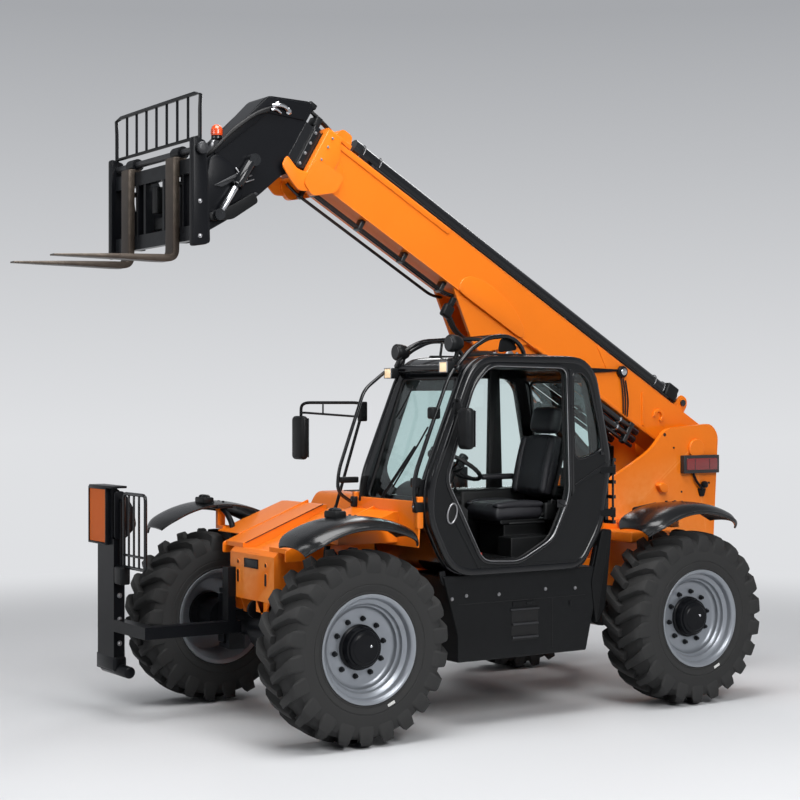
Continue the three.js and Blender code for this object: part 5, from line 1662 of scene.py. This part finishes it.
@dataclass
class Door:
    """The door: the refined skin, its rolled outer rim, the trim round the opening with a satin bead as a
    painted highlight on its edge, glass, latch, ring and mirror.
    """

    face: float = 1023
    opening: list = field(default_factory=lambda: [[-480, 2200], [-690, 1600], [-600, 1440], [-411, 1081],
            [-122, 1066], [147, 1197], [290, 1480], [269, 2320], [-356, 2328]])
    quarter: list = field(default_factory=lambda: [[330, 2290], [345, 1740], [400, 1720], [575, 1772],
            [560, 1900], [470, 2230], [410, 2290]])

    def loop(self, outline: list, x: float, radius: float, corner: float, grow: float = 0,
            flat: float = 1.0) -> Form:
        """A bead along a closed outline: an ellipse section carried round it.

        Args:
            outline: The (y, z) corners.
            x: Its place across the machine.
            radius: Half the bead's width.
            corner: The corners' radius.
            grow: How far outside the outline it runs.
            flat: Its thickness as a part of its width.

        Returns:
            The bead.
        """
        p = rounded(outline, corner, 8)
        middle = p.mean(0)
        far = p - middle
        p = middle + far * (1 + grow / np.linalg.norm(far, axis=1, keepdims=True))
        keep = np.linalg.norm(p - np.roll(p, 1, 0), axis=1) > 1
        path = np.stack([np.full(len(p), x), p[:, 0], p[:, 1]], -1)[keep]
        return swept(path, ring_section(radius, 14) * np.array([1.0, flat]), closed=True)

    def build(self) -> None:
        """Makes the door's pieces."""
        refined("door", DOOR_BLACK, Body.DOOR, 7)
        refined("door_quarter_glass", GLASS, Body.DOOR, 1.5)
        outline = Cab().outline
        piece("door_rolled_rim", self.loop(outline, self.face - 12, 26, 100, -24, 0.8), GLOSS, Body.DOOR,
            smooth=70)
        piece("door_inner_step", joined(self.loop(self.opening, self.face - 4, 15, 70, 14),
                self.loop(self.quarter, self.face - 6, 9, 40, 6)), GLOSS, Body.DOOR, smooth=70)
        # A thin satin bead round the opening: a painted highlight along its edge.
        piece("door_painted_highlight_edge", self.loop(self.opening, self.face + 4, 4.2, 70, 3), SATIN, Body.DOOR,
            smooth=70)
        piece("door_seal", self.loop(self.opening, self.face - 40, 12, 70, 6), HOSE, Body.DOOR, smooth=70)
        crease = joined(slab(rounded([[336, 1548], [350, 1538], [640, 1664], [650, 1706], [630, 1700]], 8),
                self.face - 3, self.face + 7, 3), slab(
                rounded([[-650, 1360], [-640, 1366], [-440, 1040], [-452, 1034]], 4), self.face - 2,
                self.face + 4, 2), slab(rounded([[-430, 1030], [-430, 1042], [380, 1042], [380, 1030]], 4),
                self.face - 2, self.face + 4, 2))
        piece("door_creases", crease, DOOR_BLACK, Body.DOOR)
        t = np.arange(40) * 2 * np.pi / 40
        lean = math.radians(14)
        y, z = 34 * np.cos(t), 64 * np.sin(t)
        path = np.stack([np.full(40, self.face + 5), -676 + y * math.cos(lean) + z * math.sin(lean) + 20,
                1392 - y * math.sin(lean) + z * math.cos(lean)], -1)
        piece("door_vent_ring", swept(path, ring_section(6, 10), closed=True), SATIN, Body.DOOR, smooth=70)
        cup = slab(path[::-1, 1:], self.face - 1, self.face + 3, 1)
        piece("door_vent_cup", cup, HOSE, Body.DOOR)
        pillar = slab(rounded([[292, 2318], [318, 2318], [336, 1500], [312, 1470]], 8), self.face - 3,
            self.face + 8, 4)
        latch = joined(block((self.face - 4, 306, 2058), (self.face + 14, 330, 2090), 5),
            block((self.face - 2, 560, 1740), (self.face + 12, 590, 1766), 5))
        handle = joined(block((self.face - 2, 190, 1400), (self.face + 8, 262, 1452), 8),
            tube([(self.face + 14, 200, 1440), (self.face + 14, 256, 1412)], 6))
        piece("door_pillar", joined(pillar, latch, handle), GLOSS, Body.DOOR)
        hinges = joined(*[joined(tube([(1003, 690, z - 34), (1003, 690, z + 34)], 19, sides=20),
                    slab(rounded([[560, z - 22], [690, z - 22], [690, z + 22], [560, z + 22]], 6), 1022,
                        1032, 3)) for z in (1350, 1640)])
        piece("door_hinges", hinges, MOULDED, Body.DOOR)
        self.mirror()

    def mirror(self) -> None:
        """The near mirror: a rounded case with a hood rim, its plate and arm."""
        case = block((1092, -672, 1800), (1216, -604, 2062), 30)
        plate = block((1104, -601, 1816), (1204, -596, 2046), 2)
        arm = joined(
            tube([(1020, -610, 2100), (1060, -636, 2120), (1100, -640, 2100), (1110, -640, 2050)], 9, 30),
            tube([(1020, -610, 2040), (1050, -632, 2046), (1098, -640, 2030)], 8, 20),
            block((1019, -640, 2020), (1034, -592, 2120), 6))
        piece("mirror_left_case", joined(case, arm), MOULDED, Body.DOOR, ("mirror_left",))
        piece("mirror_left_plate", plate, MIRROR, Body.DOOR)


@dataclass
class FarMirror:
    """The far mirror with its double arm and post."""

    post_x: float = -345

    def build(self) -> None:
        """Makes the mirror's pieces."""
        x = self.post_x
        upper = tube([(x, -850, 1300), (x, -720, 1300), (x, -690, 1362), (x, -455, 2078),
                (x - 40, -490, 2092), (-600, -785, 2092), (-640, -800, 2070), (-640, -800, 1985)], 11, 34,
            14)
        brace = tube([(x, -484, 1992), (-630, -796, 2022), (-640, -800, 2010)], 8, 30, 12)
        tie = tube([(-520, -690, 2090), (-520, -690, 2010)], 6, sides=10)
        clamp = block((x - 24, -500, 1960), (x + 24, -440, 2100), 10)
        foot = block((x - 30, -860, 1262), (x + 30, -842, 1338), 5)
        case = block((-722, -838, 1688), (-558, -780, 1998), 32)
        piece("mirror_right_case", joined(upper, brace, tie, clamp, foot, case), MOULDED, Body.CHASSIS,
            ("mirror_right",), 50)
        piece("mirror_right_plate", block((-710, -777, 1704), (-570, -773, 1982), 2), MIRROR)


# ---- chassis ----
@dataclass
class Chassis:
    """The frame plates, nose, hoods, engine side, tail and axles."""

    nose: float = -1540
    tail: float = 2290
    rail: float = 300

    def build(self) -> None:
        """Makes the chassis's pieces."""
        refined("chassis_frame", ORANGE, Body.CHASSIS, 6)
        refined("hood_left", ORANGE, Body.CHASSIS, 7)
        refined("hood_right", ORANGE, Body.CHASSIS, 7)
        refined("engine_cover", ORANGE, Body.CHASSIS, 10)
        refined("engine_block", CABIN, Body.CHASSIS, 6)
        refined("boom_pivot_pin", ORANGE, Body.CHASSIS, 5)
        for end in ("front", "rear"):
            refined(f"{end}_axle", BLACK, Body.CHASSIS, 6)
        refined("lift_cylinder_barrel", GLOSS, Body.BARREL, 3)
        refined("lift_cylinder_rod", CHROME, Body.ROD, 2)
        self.nose_details()
        self.hood_details()
        self.rear_details()
        self.engine_details()
        self.running_gear()

    def nose_details(self) -> None:
        """The slots and round holes on the nose, drawn as dark sheets that paint the shade inside them, with
        their rolled rims, the blank plate and its frame, the tabs and the tow eye.
        """
        y = self.nose
        # The slots and holes are dark sheets laid on the nose: painted shade inside the openings.
        slots = [slab(rounded([[z0, x - 15], [z1, x - 15], [z1, x + 15], [z0, x + 15]], 13), y - 2.5, y + 2,
                1, Axis.Y) for x in (-190, 190) for z0, z1 in ((905, 985),)]
        holes = [turned([[0, -2.5], [12, -2.5], [12, 2], [0, 2]], (x, y, 1040), Axis.Y, 24)
            for x in (-190, 190)]
        piece("nose_openings_painted_shade", joined(*slots, *holes), HOSE)
        rims = [turned([[12, -1], [17, -4], [19, 0], [12, 1]], (x, y, 1040), Axis.Y, 28)
            for x in (-190, 190)]
        rim_slots = []
        for x in (-190, 190):
            p = rounded([[x - 19, 900], [x + 19, 900], [x + 19, 990], [x - 19, 990]], 17)
            rim_slots.append(swept(np.stack([p[:, 0], np.full(len(p), y - 1), p[:, 1]], -1),
                    ring_section(3.5, 8), closed=True))
        piece("nose_rims", joined(*rims, *rim_slots), ORANGE, smooth=60)
        plate = block((-82, y - 7, 1018), (82, y + 1, 1064), 3)
        piece("nose_blank_plate", plate, SATIN_DARK)
        frame_ring = joined(*[block(a, b, 3) for a, b in (((-92, y - 10, 1010), (92, y, 1018)),
                    ((-92, y - 10, 1064), (92, y, 1072)), ((-92, y - 10, 1010), (-84, y, 1072)),
                    ((84, y - 10, 1010), (92, y, 1072)))])
        piece("nose_plate_frame", frame_ring, GLOSS)
        tab = slab(rounded([[716, 130], [716, 178], [806, 230], [806, 60]], 14), y, y + 16, 4, Axis.Y)
        side = slab(
            rounded([[y + 4, 806], [y + 4, 748], [y + 60, 706], [y + 190, 730], [y + 190, 806]], 22),
            self.rail - 16, self.rail + 2, 4)
        piece("nose_tabs", joined(tab, side, side.mirrored()), ORANGE)
        ring = joined(turned([[44, -10], [60, -10], [60, 10], [44, 10]], (0, y + 30, 740), Axis.X, 32),
            block((-30, y + 20, 770), (30, y + 120, 806), 8))
        piece("nose_tow_eye", ring, BLACK)

    def hood_details(self) -> None:
        """The sloping lids, their shut lines, side skirts and the black mounts on the fenders' inner ends."""
        y0, y1 = self.nose + 8, -872

        def lid(x0: float, x1: float, lift: float) -> Form:
            """A crowned lid over the front: z rises from the nose to the cab along a smooth step.

            Args:
                x0: One side.
                x1: The other side.
                lift: Its height over the hood.

            Returns:
                The lid.
            """
            u, v = np.linspace(0, 1, 24), np.linspace(0, 1, 10)
            ym = y0 + (y1 - y0) * u
            z = 1134 + (1400 - 1134) * (u**1.15) + lift
            edge = 1 - np.abs(2 * v - 1) ** 6
            zz = z[:, None] + 14 * (edge[None] - 1) + 4 * np.sin(np.pi * v)[None]
            xx = np.broadcast_to(x0 + (x1 - x0) * v, zz.shape)
            yy = np.broadcast_to(ym[:, None], zz.shape)
            top = np.stack([xx, yy, zz], -1)
            low = np.stack([xx, yy, zz - 16], -1)
            loop = np.concatenate([top, low[:, ::-1]], 1)
            return grid(loop, wrap_v=True, caps=True)

        piece("hood_lid", lid(-176, 176, -26), ORANGE, smooth=50)
        skirts = [
            slab(rounded([[y0, 1080], [y0, 1150], [y1 + 10, 1420], [y1 + 10, 1080]], 14), x, x + 10, 3)
            for x in (424, -434)]
        piece("hood_skirts", joined(*skirts), ORANGE)
        dash = slab(rounded([[-880, 1180], [-866, 1180], [-846, 1470], [-866, 1470]], 4), 176, 966, 3)
        piece("hood_firewall", dash, ORANGE)
        post = joined(block((930, -884, 1300), (972, -836, 1500), 8),
            block((182, -884, 1300), (222, -836, 1500), 8))
        piece("hood_corner_posts", post, ORANGE)
        lines = [tube([(x, y0 + 40, 1160), (x, y1 - 20, 1396)], 3, sides=8) for x in (178, -178)]
        piece("hood_shut_lines", joined(*lines), HOSE)
        boxes = [block((x - 70, -1480, 1382), (x + 70, -1396, 1430), 12) for x in (890, -890)]
        domes = [turned([[0, 0], [30, 0], [30, 12], [20, 20], [0, 22]], (x, -1438, 1426), Axis.Z, 28)
            for x in (868, 912, -868, -912)]
        piece("fender_lamp_blocks", joined(*boxes, *domes), MOULDED)

    def rear_details(self) -> None:
        """The uprights' holes, drawn as dark discs of painted shade, their lugs, hooks and lamps, the rear
        decks and valves, the tail plates and bolts, the inner valve bank with its hoses and the pivot hoses.
        """
        for s in (1, -1):
            x = s * self.rail
            tag = "left" if s > 0 else "right"
            # The holes are dark discs laid on the upright: painted shade inside them.
            dots = joined(*[turned([[0, 0], [r, 0], [r, s * 2.5], [0, s * 2.5]], (x, y, z), Axis.X, 24)
                    for y, z, r in ((1791, 1851, 13), (1882, 1752, 8), (2240, 1480, 9), (1960, 1420, 8))])
            piece(f"upright_holes_{tag}", dots, HOSE)
            nose_lug = slab(
                rounded([[1690, 1480], [1740, 1500], [1800, 1470], [1790, 1420], [1730, 1420]], 20),
                min(x - s * 2, x + s * 46), max(x - s * 2, x + s * 46), 8)
            piece(f"upright_lug_{tag}", nose_lug, ORANGE)
            case = block((x + s * 1, 1946, 1558), (x + s * 46, 2306, 1694), 6)
            lens = block((x + s * 40, 1972, 1582), (x + s * 51, 2282, 1670), 4)
            bars = joined(
                *[block((x + s * 42, y - 2, 1584), (x + s * 53, y + 2, 1668), 1) for y in (2052, 2200)])
            piece(f"tail_lamp_case_{tag}", joined(case, bars), SATIN_DARK)
            piece(f"tail_lamp_lens_{tag}", lens, RED_LENS, Body.CHASSIS, (f"tail_lamp_{tag}",))
            hook = joined(tube([(x + s * 10, 2070, 1556), (x + s * 26, 2084, 1500),
                        (x + s * 30, 2130, 1452), (x + s * 20, 2160, 1440)], 9, 30, 12),
                turned([[0, -24], [20, -24], [28, -10], [26, 16], [14, 24], [0, 26]],
                    (x + s * 24, 2172, 1470), Axis.Z, 24), slab(
                    rounded([[2120, 1440], [2200, 1440], [2180, 1380], [2140, 1380]], 12),
                    min(x, x + s * 14), max(x, x + s * 14), 3))
            piece(f"upright_hook_{tag}", hook, BLACK)
            box = block((x + s * 4, 1180, 1090), (x + s * 330, 1560, 1170), 14)
            piece(f"rear_deck_{tag}", box, ORANGE)
            pump = joined(tube([(x + s * 80, 1420, 1300), (x + s * 80, 1640, 1330)], 26, sides=20),
                block((x + s * 40, 1500, 1170), (x + s * 130, 1600, 1310), 12))
            piece(f"rear_valve_{tag}", pump, MOULDED)
        back = joined(block((-250, self.tail - 2, 760), (250, self.tail + 10, 860), 5),
            block((-200, self.tail - 2, 980), (200, self.tail + 6, 1160), 5))
        piece("tail_plates", back, ORANGE)
        studs = bolts([(x, self.tail + 9, z) for x in (-215, 215) for z in (785, 835)], 12, 12, Axis.Y, 1)
        piece("tail_bolts", studs, SATIN)
        bank = joined(block((-258, 1240, 1240), (-176, 1500, 1600), 12),
            block((-258, 1500, 1300), (-190, 1720, 1760), 12),
            *[block((-182, 1260 + k * 58, 1300), (-158, 1300 + k * 58, 1560), 5) for k in range(4)])
        piece("inner_valve_bank", bank, MOULDED)
        spill = [tube([(-188 + k * 4, 1280 + k * 60, 1560), (-182, 1300 + k * 60, 1660),
                    (-186, 1420 + k * 50, 1700), (-190, 1560 + k * 30, 1640 - k * 30)], 11, 60, 10)
            for k in range(4)]
        piece("inner_valve_hoses", joined(*spill), HOSE)
        hoses = [
            tube([(x, 1890, 1130), (x + 6, 1760, 1330), (x, 1640, 1560), (x - 4, 1700, 1680)], 12, 120, 12)
            for x in (190, 214, -190, -214)]
        piece("pivot_hoses", joined(*hoses), HOSE)

    def engine_details(self) -> None:
        """Louvres, shut lines, handles and the exhaust on the engine's side."""
        louvres = [block((-992, y - 70, z), (-980, y + 70, z + 10), 3) for y in (-260, -60, 300)
            for z in range(820, 1140, 34)]
        piece("engine_louvres", joined(*louvres), MOULDED)
        top = [block((x, -300, 1436), (x + 20, 260, 1446), 3) for x in range(-880, -440, 46)]
        piece("engine_top_vents", joined(*top), MOULDED)
        stack = joined(tube([(-420, 420, 1400), (-420, 420, 1640), (-420, 470, 1700)], 36, 40, 24),
            turned([[0, 0], [58, 0], [62, 8], [62, 170], [58, 178], [0, 178]], (-420, 420, 1440), Axis.Z,
                36))
        piece("exhaust_stack", stack, SATIN_DARK, smooth=50)
        seams = [tube([(-987, y, 700), (-987, y, 1270)], 3, sides=8) for y in (-420, 120, 470)]
        piece("engine_shut_lines", joined(*seams), HOSE)
        grips = joined(*[joined(block((-996, y - 40, 1190), (-984, y + 40, 1230), 6)) for y in (-160, 300)])
        piece("engine_latches", grips, GLOSS)

    def running_gear(self) -> None:
        """Steering cylinders, differential covers, axle bolts, brake lines and the drive shaft."""
        for end, y in (("front", -1350), ("rear", 1350)):
            s = -1 if end == "front" else 1
            cover = turned(
                [[0, 0], [150, 0], [158, s * 8], [150, s * 40], [110, s * 70], [50, s * 84], [0, s * 88]],
                (0, y + s * 60, 600), Axis.Y, 48)
            studs = bolts([(132 * math.cos(a), y + s * 96, 600 + 132 * math.sin(a))
                    for a in np.arange(10) * np.pi / 5], 9, 14, Axis.Y, s)
            rod = joined(tube([(-420, y - s * 110, 560), (420, y - s * 110, 560)], 18, sides=16),
                tube([(-220, y - s * 110, 560), (220, y - s * 110, 560)], 36, sides=24))
            piece(f"{end}_axle_cover", joined(cover, studs), BLACK)
            piece(f"{end}_steering_cylinder", rod, GLOSS)
            lines = [tube([(k * 60, y + s * 30, 690), (k * 260, y + s * 84, 700),
                        (k * 520, y + s * 70, 690), (k * 590, y + s * 30, 740)], 7, 60, 10)
                for k in (1, -1)]
            piece(f"{end}_brake_lines", joined(*lines), HOSE)
        shaft = joined(tube([(0, -1180, 600), (0, 1180, 600)], 34, sides=24),
            *[turned([[0, -30], [62, -30], [62, 30], [0, 30]], (0, y, 600), Axis.Y, 32)
                for y in (-1150, -300, 300, 1150)])
        piece("drive_shaft", shaft, BLACK)
        tray = block((-240, -900, 650), (240, 900, 700), 12)
        piece("belly_tray", tray, BLACK)


@dataclass
class Fender:
    """One fender: an arc whose section is a shallow roll, thicker at the outer lip; angles from the
    wheel's middle.
    """

    end: str
    hand: str
    radius: float = 795
    start: float = 58
    stop: float = 126
    width: float = 412

    def build(self) -> None:
        """Makes the fender: point = (radius - droop(u)) along the arc's angle, droop = 70 |u|^4 at the
        lips.
        """
        side = 1 if self.hand == "left" else -1
        y0 = -1350 if self.end == "front" else 1350
        angles = np.radians(np.linspace(self.start, self.stop, 40))
        u = np.linspace(-1, 1, 22)
        taper = 1 - 0.35 * np.clip((np.abs(np.linspace(-1, 1, 40)) - 0.72) / 0.28, 0, 1) ** 2
        droop = 16 * u**2 + 40 * np.clip(u, 0, 1) ** 5
        x = 962 + self.width / 2 * u[None] * taper[:, None]
        r = (self.radius + 4 - droop[None]) * np.ones((40, 1))
        flare = 26 * np.clip((np.abs(np.linspace(-1, 1, 40)) - 0.8) / 0.2, 0, 1)[:, None] ** 2
        r_top = r - flare * 0.6
        r_low = r_top - 12

        def place(radius: Array) -> Array:
            """The arc's points in the drawing."""
            return np.stack(
                [x, y0 + radius * np.cos(angles)[:, None], 600 + radius * np.sin(angles)[:, None]], -1)

        loop = np.concatenate([place(r_top), place(r_low)[:, ::-1]], 1)
        shell = grid(loop, wrap_v=True, caps=True)
        lip_path = place(r_top - 8)[:, -1]
        lip = swept(lip_path + np.array([2.0, 0, 0]), ring_section(13, 12),
            scale=np.clip(1.3 - np.abs(np.linspace(-1, 1, 40)) ** 4 * 0.7, 0.4, 1))
        whole = joined(shell, lip)
        whole = whole if side > 0 else whole.mirrored()
        tag = f"{self.end}_{self.hand}"
        piece(f"fender_{tag}_shell", whole, FENDER, Body.CHASSIS, (f"fender_{tag}",), 45)
        stay = joined(tube(
                [(610, y0, 1000), (640, y0 + 10, 1240), (760, y0 + 10, 1340), (900, y0 + 10, 1376)], 20, 80,
                16), block((640, y0 - 60, 1340), (860, y0 + 70, 1362), 6)
            if self.end == "rear" else block((740, y0 - 60, 1352), (880, y0 + 60, 1376), 6))
        piece(f"fender_{tag}_stay", stay if side > 0 else stay.mirrored(), BLACK)
        studs = bolts([(962 + dx, y0 + dy, 1392) for dx in (-110, -40) for dy in (-40, 40)], 9, 9, Axis.Z,
            1)
        piece(f"fender_{tag}_bolts", studs if side > 0 else studs.mirrored(), BLACK)


@dataclass
class StepBox:
    """The box under the cab: the refined body, its ledge, bolts, seam, step recess and flap."""

    face: float = 975

    def build(self) -> None:
        """Makes the step box's pieces."""
        f = self.face
        refined("step_box", MOULDED, Body.CHASSIS, 10)
        line = [(f - 20, -688, 1020), (f - 20, -676, 950), (f - 20, -560, 892), (f - 20, 430, 892),
            (f - 20, 556, 962), (f - 20, 600, 1120)]
        ledge = swept(smooth_path(line, 60, 8), box_section(46, 18, 6))
        wing = slab(rounded([[520, 880], [610, 1230], [700, 1236], [640, 700], [560, 600]], 30), f - 60,
            f + 10, 8)
        piece("step_ledge", joined(ledge, wing), MOULDED)
        piece("step_bolts", bolts(
                [(f + 1, y, z) for y, z in ((-621, 842), (-509, 856), (-250, 850), (132, 862), (383, 854))],
                9, 9), SATIN)
        seam = joined(slab(rounded([[-570, 800], [-570, 806], [470, 806], [470, 800]], 2), f - 1, f + 2, 1),
            slab(rounded([[184, 470], [184, 800], [190, 800], [190, 470]], 2), f - 1, f + 2, 1))
        piece("step_seams", seam, HOSE)
        recess = slab(rounded([[-150, 540], [-150, 740], [70, 740], [70, 540]], 14), f - 2, f + 2.5, 1)
        piece("step_recess", recess, HOSE)
        treads = joined(*[block((f - 4, -146, z), (f + 16, 66, z + 14), 4) for z in (552, 640)],
            block((f - 2, -156, 736), (f + 12, 76, 748), 4))
        piece("step_treads", treads, SATIN_DARK)
        lid = slab(rounded([[-140, 760], [-140, 794], [60, 794], [60, 760]], 6), f - 2, f + 6, 2)
        latch = joined(block((f, -30, 768), (f + 12, 10, 788), 4),
            block((f, 330, 740), (f + 10, 350, 770), 4))
        piece("step_flap", joined(lid, latch), MOULDED)


@dataclass
class GuardPost:
    """The front right post with its blank panel, bars and foot."""

    def build(self) -> None:
        """Makes the post's pieces."""
        refined("guard_post", BLACK, Body.CHASSIS, 7)
        # The guard plate takes the darker orange: painted shade.
        refined("guard_plate", ORANGE_PAINTED_SHADE, Body.CHASSIS, 4)
        rim = joined(*[block(a, b, 4) for a, b in (((-1082, -2228, 1136), (-788, -2198, 1150)),
                    ((-1082, -2228, 1508), (-788, -2198, 1524)),
                    ((-1084, -2228, 1136), (-1070, -2198, 1524)),
                    ((-800, -2228, 1136), (-786, -2198, 1524)))])
        cap = block((-1078, -2226, 1518), (-700, -2110, 1534), 5)
        piece("guard_panel_rim", joined(rim, cap), BLACK)
        frame_tube = tube([(-640, -2160, 980), (-640, -2160, 1488), (-320, -2160, 1488),
                (-300, -2160, 1470), (-300, -2160, 1000), (-640, -2160, 1000)], 12, 40, 12)
        bars = [tube([(x, -2160, 1000), (x, -2160, 1486)], 8, sides=10) for x in (-560, -480, -400)]
        cross = tube([(-640, -2160, 1080), (-300, -2160, 1080)], 9, sides=10)
        piece("guard_bars", joined(frame_tube, *bars, cross), GLOSS)
        studs = bolts([(-712, -2160, z) for z in (480, 640, 800, 960)], 13, 18)
        piece("guard_bolts", studs, SATIN)
        wing = slab(rounded(
                [[-2200, 1180], [-2120, 1180], [-2040, 1260], [-2060, 1380], [-2130, 1500], [-2200, 1500]],
                26), -716, -700, 4)
        foot = joined(block((-1000, -2206, 290), (-700, -2110, 392), 20),
            tube([(-980, -2150, 300), (-560, -2150, 300)], 40, 30, 24))
        piece("guard_wing", joined(wing, foot), BLACK)
        brackets = joined(block((-716, -2200, 880), (-600, -2130, 1000), 12),
            block((-716, -2190, 560), (-640, -2130, 640), 10))
        piece("guard_brackets", brackets, MOULDED)


# ---- studio ----
@dataclass
class Studio:
    """The seamless floor, the lamps and the camera."""

    eye: tuple[float, float, float] = (9857.3, -6836.2, 2110.7)
    azimuth: float = 56.77
    lens: float = 76.55
    wall: float = 45.0
    fade: tuple[float, float] = (4.5, 10.0)
    # The far paper's glow at the floor and at the top: painted light, darker towards the top.
    painted_glow_floor: tuple[float, float, float] = (0.74, 0.75, 0.77)
    painted_glow_top: tuple[float, float, float] = (0.38, 0.39, 0.41)

    def camera(self) -> None:
        """A level camera at a standing person's height, to the front left."""
        data = bpy.data.cameras.new("camera")
        data.lens, data.sensor_width = self.lens, 36.0
        data.clip_end = 100
        made = bpy.data.objects.new("camera", data)
        made.location = np.array(self.eye) / 1000 + SHIFT
        made.rotation_euler = (math.pi / 2, 0, math.radians(self.azimuth))
        bpy.context.scene.collection.objects.link(made)
        bpy.context.scene.camera = made

    def cyclorama(self) -> None:
        """A round floor that turns up into a wall all the way round, a profile turned about Z: flat, a
        quarter circle, upright.
        """
        t = np.linspace(0, np.pi / 2, 24)
        bend, high = self.wall / 4, 34.0
        reach = self.wall - bend
        start = np.array([[0.01, 0.0], [3.0, 0.0], [6.0, 0.0], [9.0, 0.0], [20.0, 0.0]])
        curve = np.stack([reach + bend * np.sin(t), bend * (1 - np.cos(t))], -1)
        profile = np.concatenate([start, curve, [[self.wall, high]]])
        turn = np.linspace(0, 2 * np.pi, 97)[:-1]
        points = np.stack([profile[:, :1] * np.cos(turn), profile[:, :1] * np.sin(turn),
                np.repeat(profile[:, 1:], len(turn), axis=1)], -1)
        form = grid(points, wrap_v=True)
        mesh = bpy.data.meshes.new("cyclorama")
        mesh.from_pydata(form.verts - np.array([0, 0, 0.0005]), [], form.faces)
        mesh.shade_smooth()
        made = bpy.data.objects.new("cyclorama", mesh)
        bpy.context.scene.collection.objects.link(made)
        mesh.materials.append(self.paper())

    def paper(self) -> bpy.types.Material:
        """Pale paper that is lit near the object and, far off, glows for the camera, reflections and
        transmission with a painted light that grows darker towards the top, as the lamplight falls off.

        Returns:
            The studio's paper material.
        """
        made = bpy.data.materials.new("studio_paper")
        made.use_nodes = True
        tree = made.node_tree
        shader = tree.nodes["Principled BSDF"]
        shader.inputs["Base Color"].default_value = (0.63, 0.637, 0.65, 1)
        shader.inputs["Roughness"].default_value = 0.55
        shader.inputs["Specular IOR Level"].default_value = 0.25
        place = tree.nodes.new("ShaderNodeTexCoord")
        flat = tree.nodes.new("ShaderNodeVectorMath")
        flat.operation, flat.inputs[1].default_value = "MULTIPLY", (1, 1, 0)
        far = tree.nodes.new("ShaderNodeVectorMath")
        far.operation = "LENGTH"
        fade = tree.nodes.new("ShaderNodeMapRange")
        fade.interpolation_type = "SMOOTHSTEP"
        fade.inputs["From Min"].default_value, fade.inputs["From Max"].default_value = self.fade
        split = tree.nodes.new("ShaderNodeSeparateXYZ")
        rise = tree.nodes.new("ShaderNodeMapRange")
        rise.inputs["From Min"].default_value, rise.inputs["From Max"].default_value = 1.0, 14.9
        shade = tree.nodes.new("ShaderNodeMix")
        shade.data_type = "RGBA"
        shade.inputs["A"].default_value, shade.inputs["B"].default_value = (*self.painted_glow_floor, 1), (
            *self.painted_glow_top, 1)
        ray = tree.nodes.new("ShaderNodeLightPath")
        seen = [tree.nodes.new("ShaderNodeMath") for _ in range(3)]
        seen[0].operation, seen[1].operation, seen[2].operation = "MAXIMUM", "MAXIMUM", "MULTIPLY"
        glow = tree.nodes.new("ShaderNodeEmission")
        mix = tree.nodes.new("ShaderNodeMixShader")
        link = tree.links.new
        link(place.outputs["Object"], flat.inputs[0])
        link(flat.outputs[0], far.inputs[0])
        link(far.outputs["Value"], fade.inputs["Value"])
        link(place.outputs["Object"], split.inputs[0])
        link(split.outputs["Z"], rise.inputs["Value"])
        link(rise.outputs["Result"], shade.inputs["Factor"])
        # The glow is painted light on the far paper, darker towards the top.
        link(shade.outputs["Result"], glow.inputs["Color"])
        link(ray.outputs["Is Camera Ray"], seen[0].inputs[0])
        link(ray.outputs["Is Glossy Ray"], seen[0].inputs[1])
        link(seen[0].outputs[0], seen[1].inputs[0])
        link(ray.outputs["Is Transmission Ray"], seen[1].inputs[1])
        link(seen[1].outputs[0], seen[2].inputs[0])
        link(fade.outputs["Result"], seen[2].inputs[1])
        link(seen[2].outputs[0], mix.inputs[0])
        link(shader.outputs[0], mix.inputs[1])
        link(glow.outputs[0], mix.inputs[2])
        link(mix.outputs[0], tree.nodes["Material Output"].inputs["Surface"])
        return made

    def lamp(self, name: str, place: tuple, aim: tuple, size: tuple, power: float,
            color: tuple = (1, 1, 1)) -> None:
        """A rectangular soft lamp at a place, aimed at a point, in metres.

        Args:
            name: The lamp's name.
            place: Where it stands.
            aim: The point that it faces.
            size: Its width and height.
            power: Its watts.
            color: Its colour.
        """
        data = bpy.data.lights.new(name, "AREA")
        data.shape, data.size, data.size_y = "RECTANGLE", *size
        data.energy, data.color = power, color
        made = bpy.data.objects.new(name, data)
        made.location = place
        way = np.array(aim, float) - np.array(place, float)
        made.rotation_euler = Vector(way).to_track_quat("-Z", "Y").to_euler()
        made.visible_camera = False
        bpy.context.scene.collection.objects.link(made)

    def build(self) -> None:
        """Sets the plain world, the lamps, the floor and the camera."""
        scene = bpy.context.scene
        scene.view_settings.view_transform = "Standard"
        world = bpy.data.worlds.new("studio")
        scene.world = world
        world.use_nodes = True
        back = world.node_tree.nodes["Background"]
        back.inputs["Color"].default_value = (0.93, 0.95, 1.0, 1)
        back.inputs["Strength"].default_value = 0.2
        self.camera()
        self.cyclorama()
        self.lamp("key_top", (2.0, -1.5, 8.5), (0, 0, 1), (5, 5), 640)
        self.lamp("front_left", (9.2, -0.8, 6.5), (0, 0.8, 1.6), (4, 4), 620)
        self.lamp("front", (1.0, -9.0, 5.0), (0, 0, 1.5), (3, 3), 170)
        self.lamp("rim_back", (-6.0, 5.0, 7.0), (0, 0, 2), (3, 5), 200)


def main() -> None:
    """Builds the studio and every sub-assembly, in order."""
    logging.basicConfig(level=logging.INFO, format="%(name)s %(message)s")
    Studio().build()
    for end in ("front", "rear"):
        for hand in ("left", "right"):
            Wheel(end, hand).build()
            Fender(end, hand).build()
    for part in (Chassis(), StepBox(), Cab(), Seat(), Door(), FarMirror(), Boom(), Head(), Carriage(),
            GuardPost()):
        part.build()


if __name__ == "__main__":
    main()
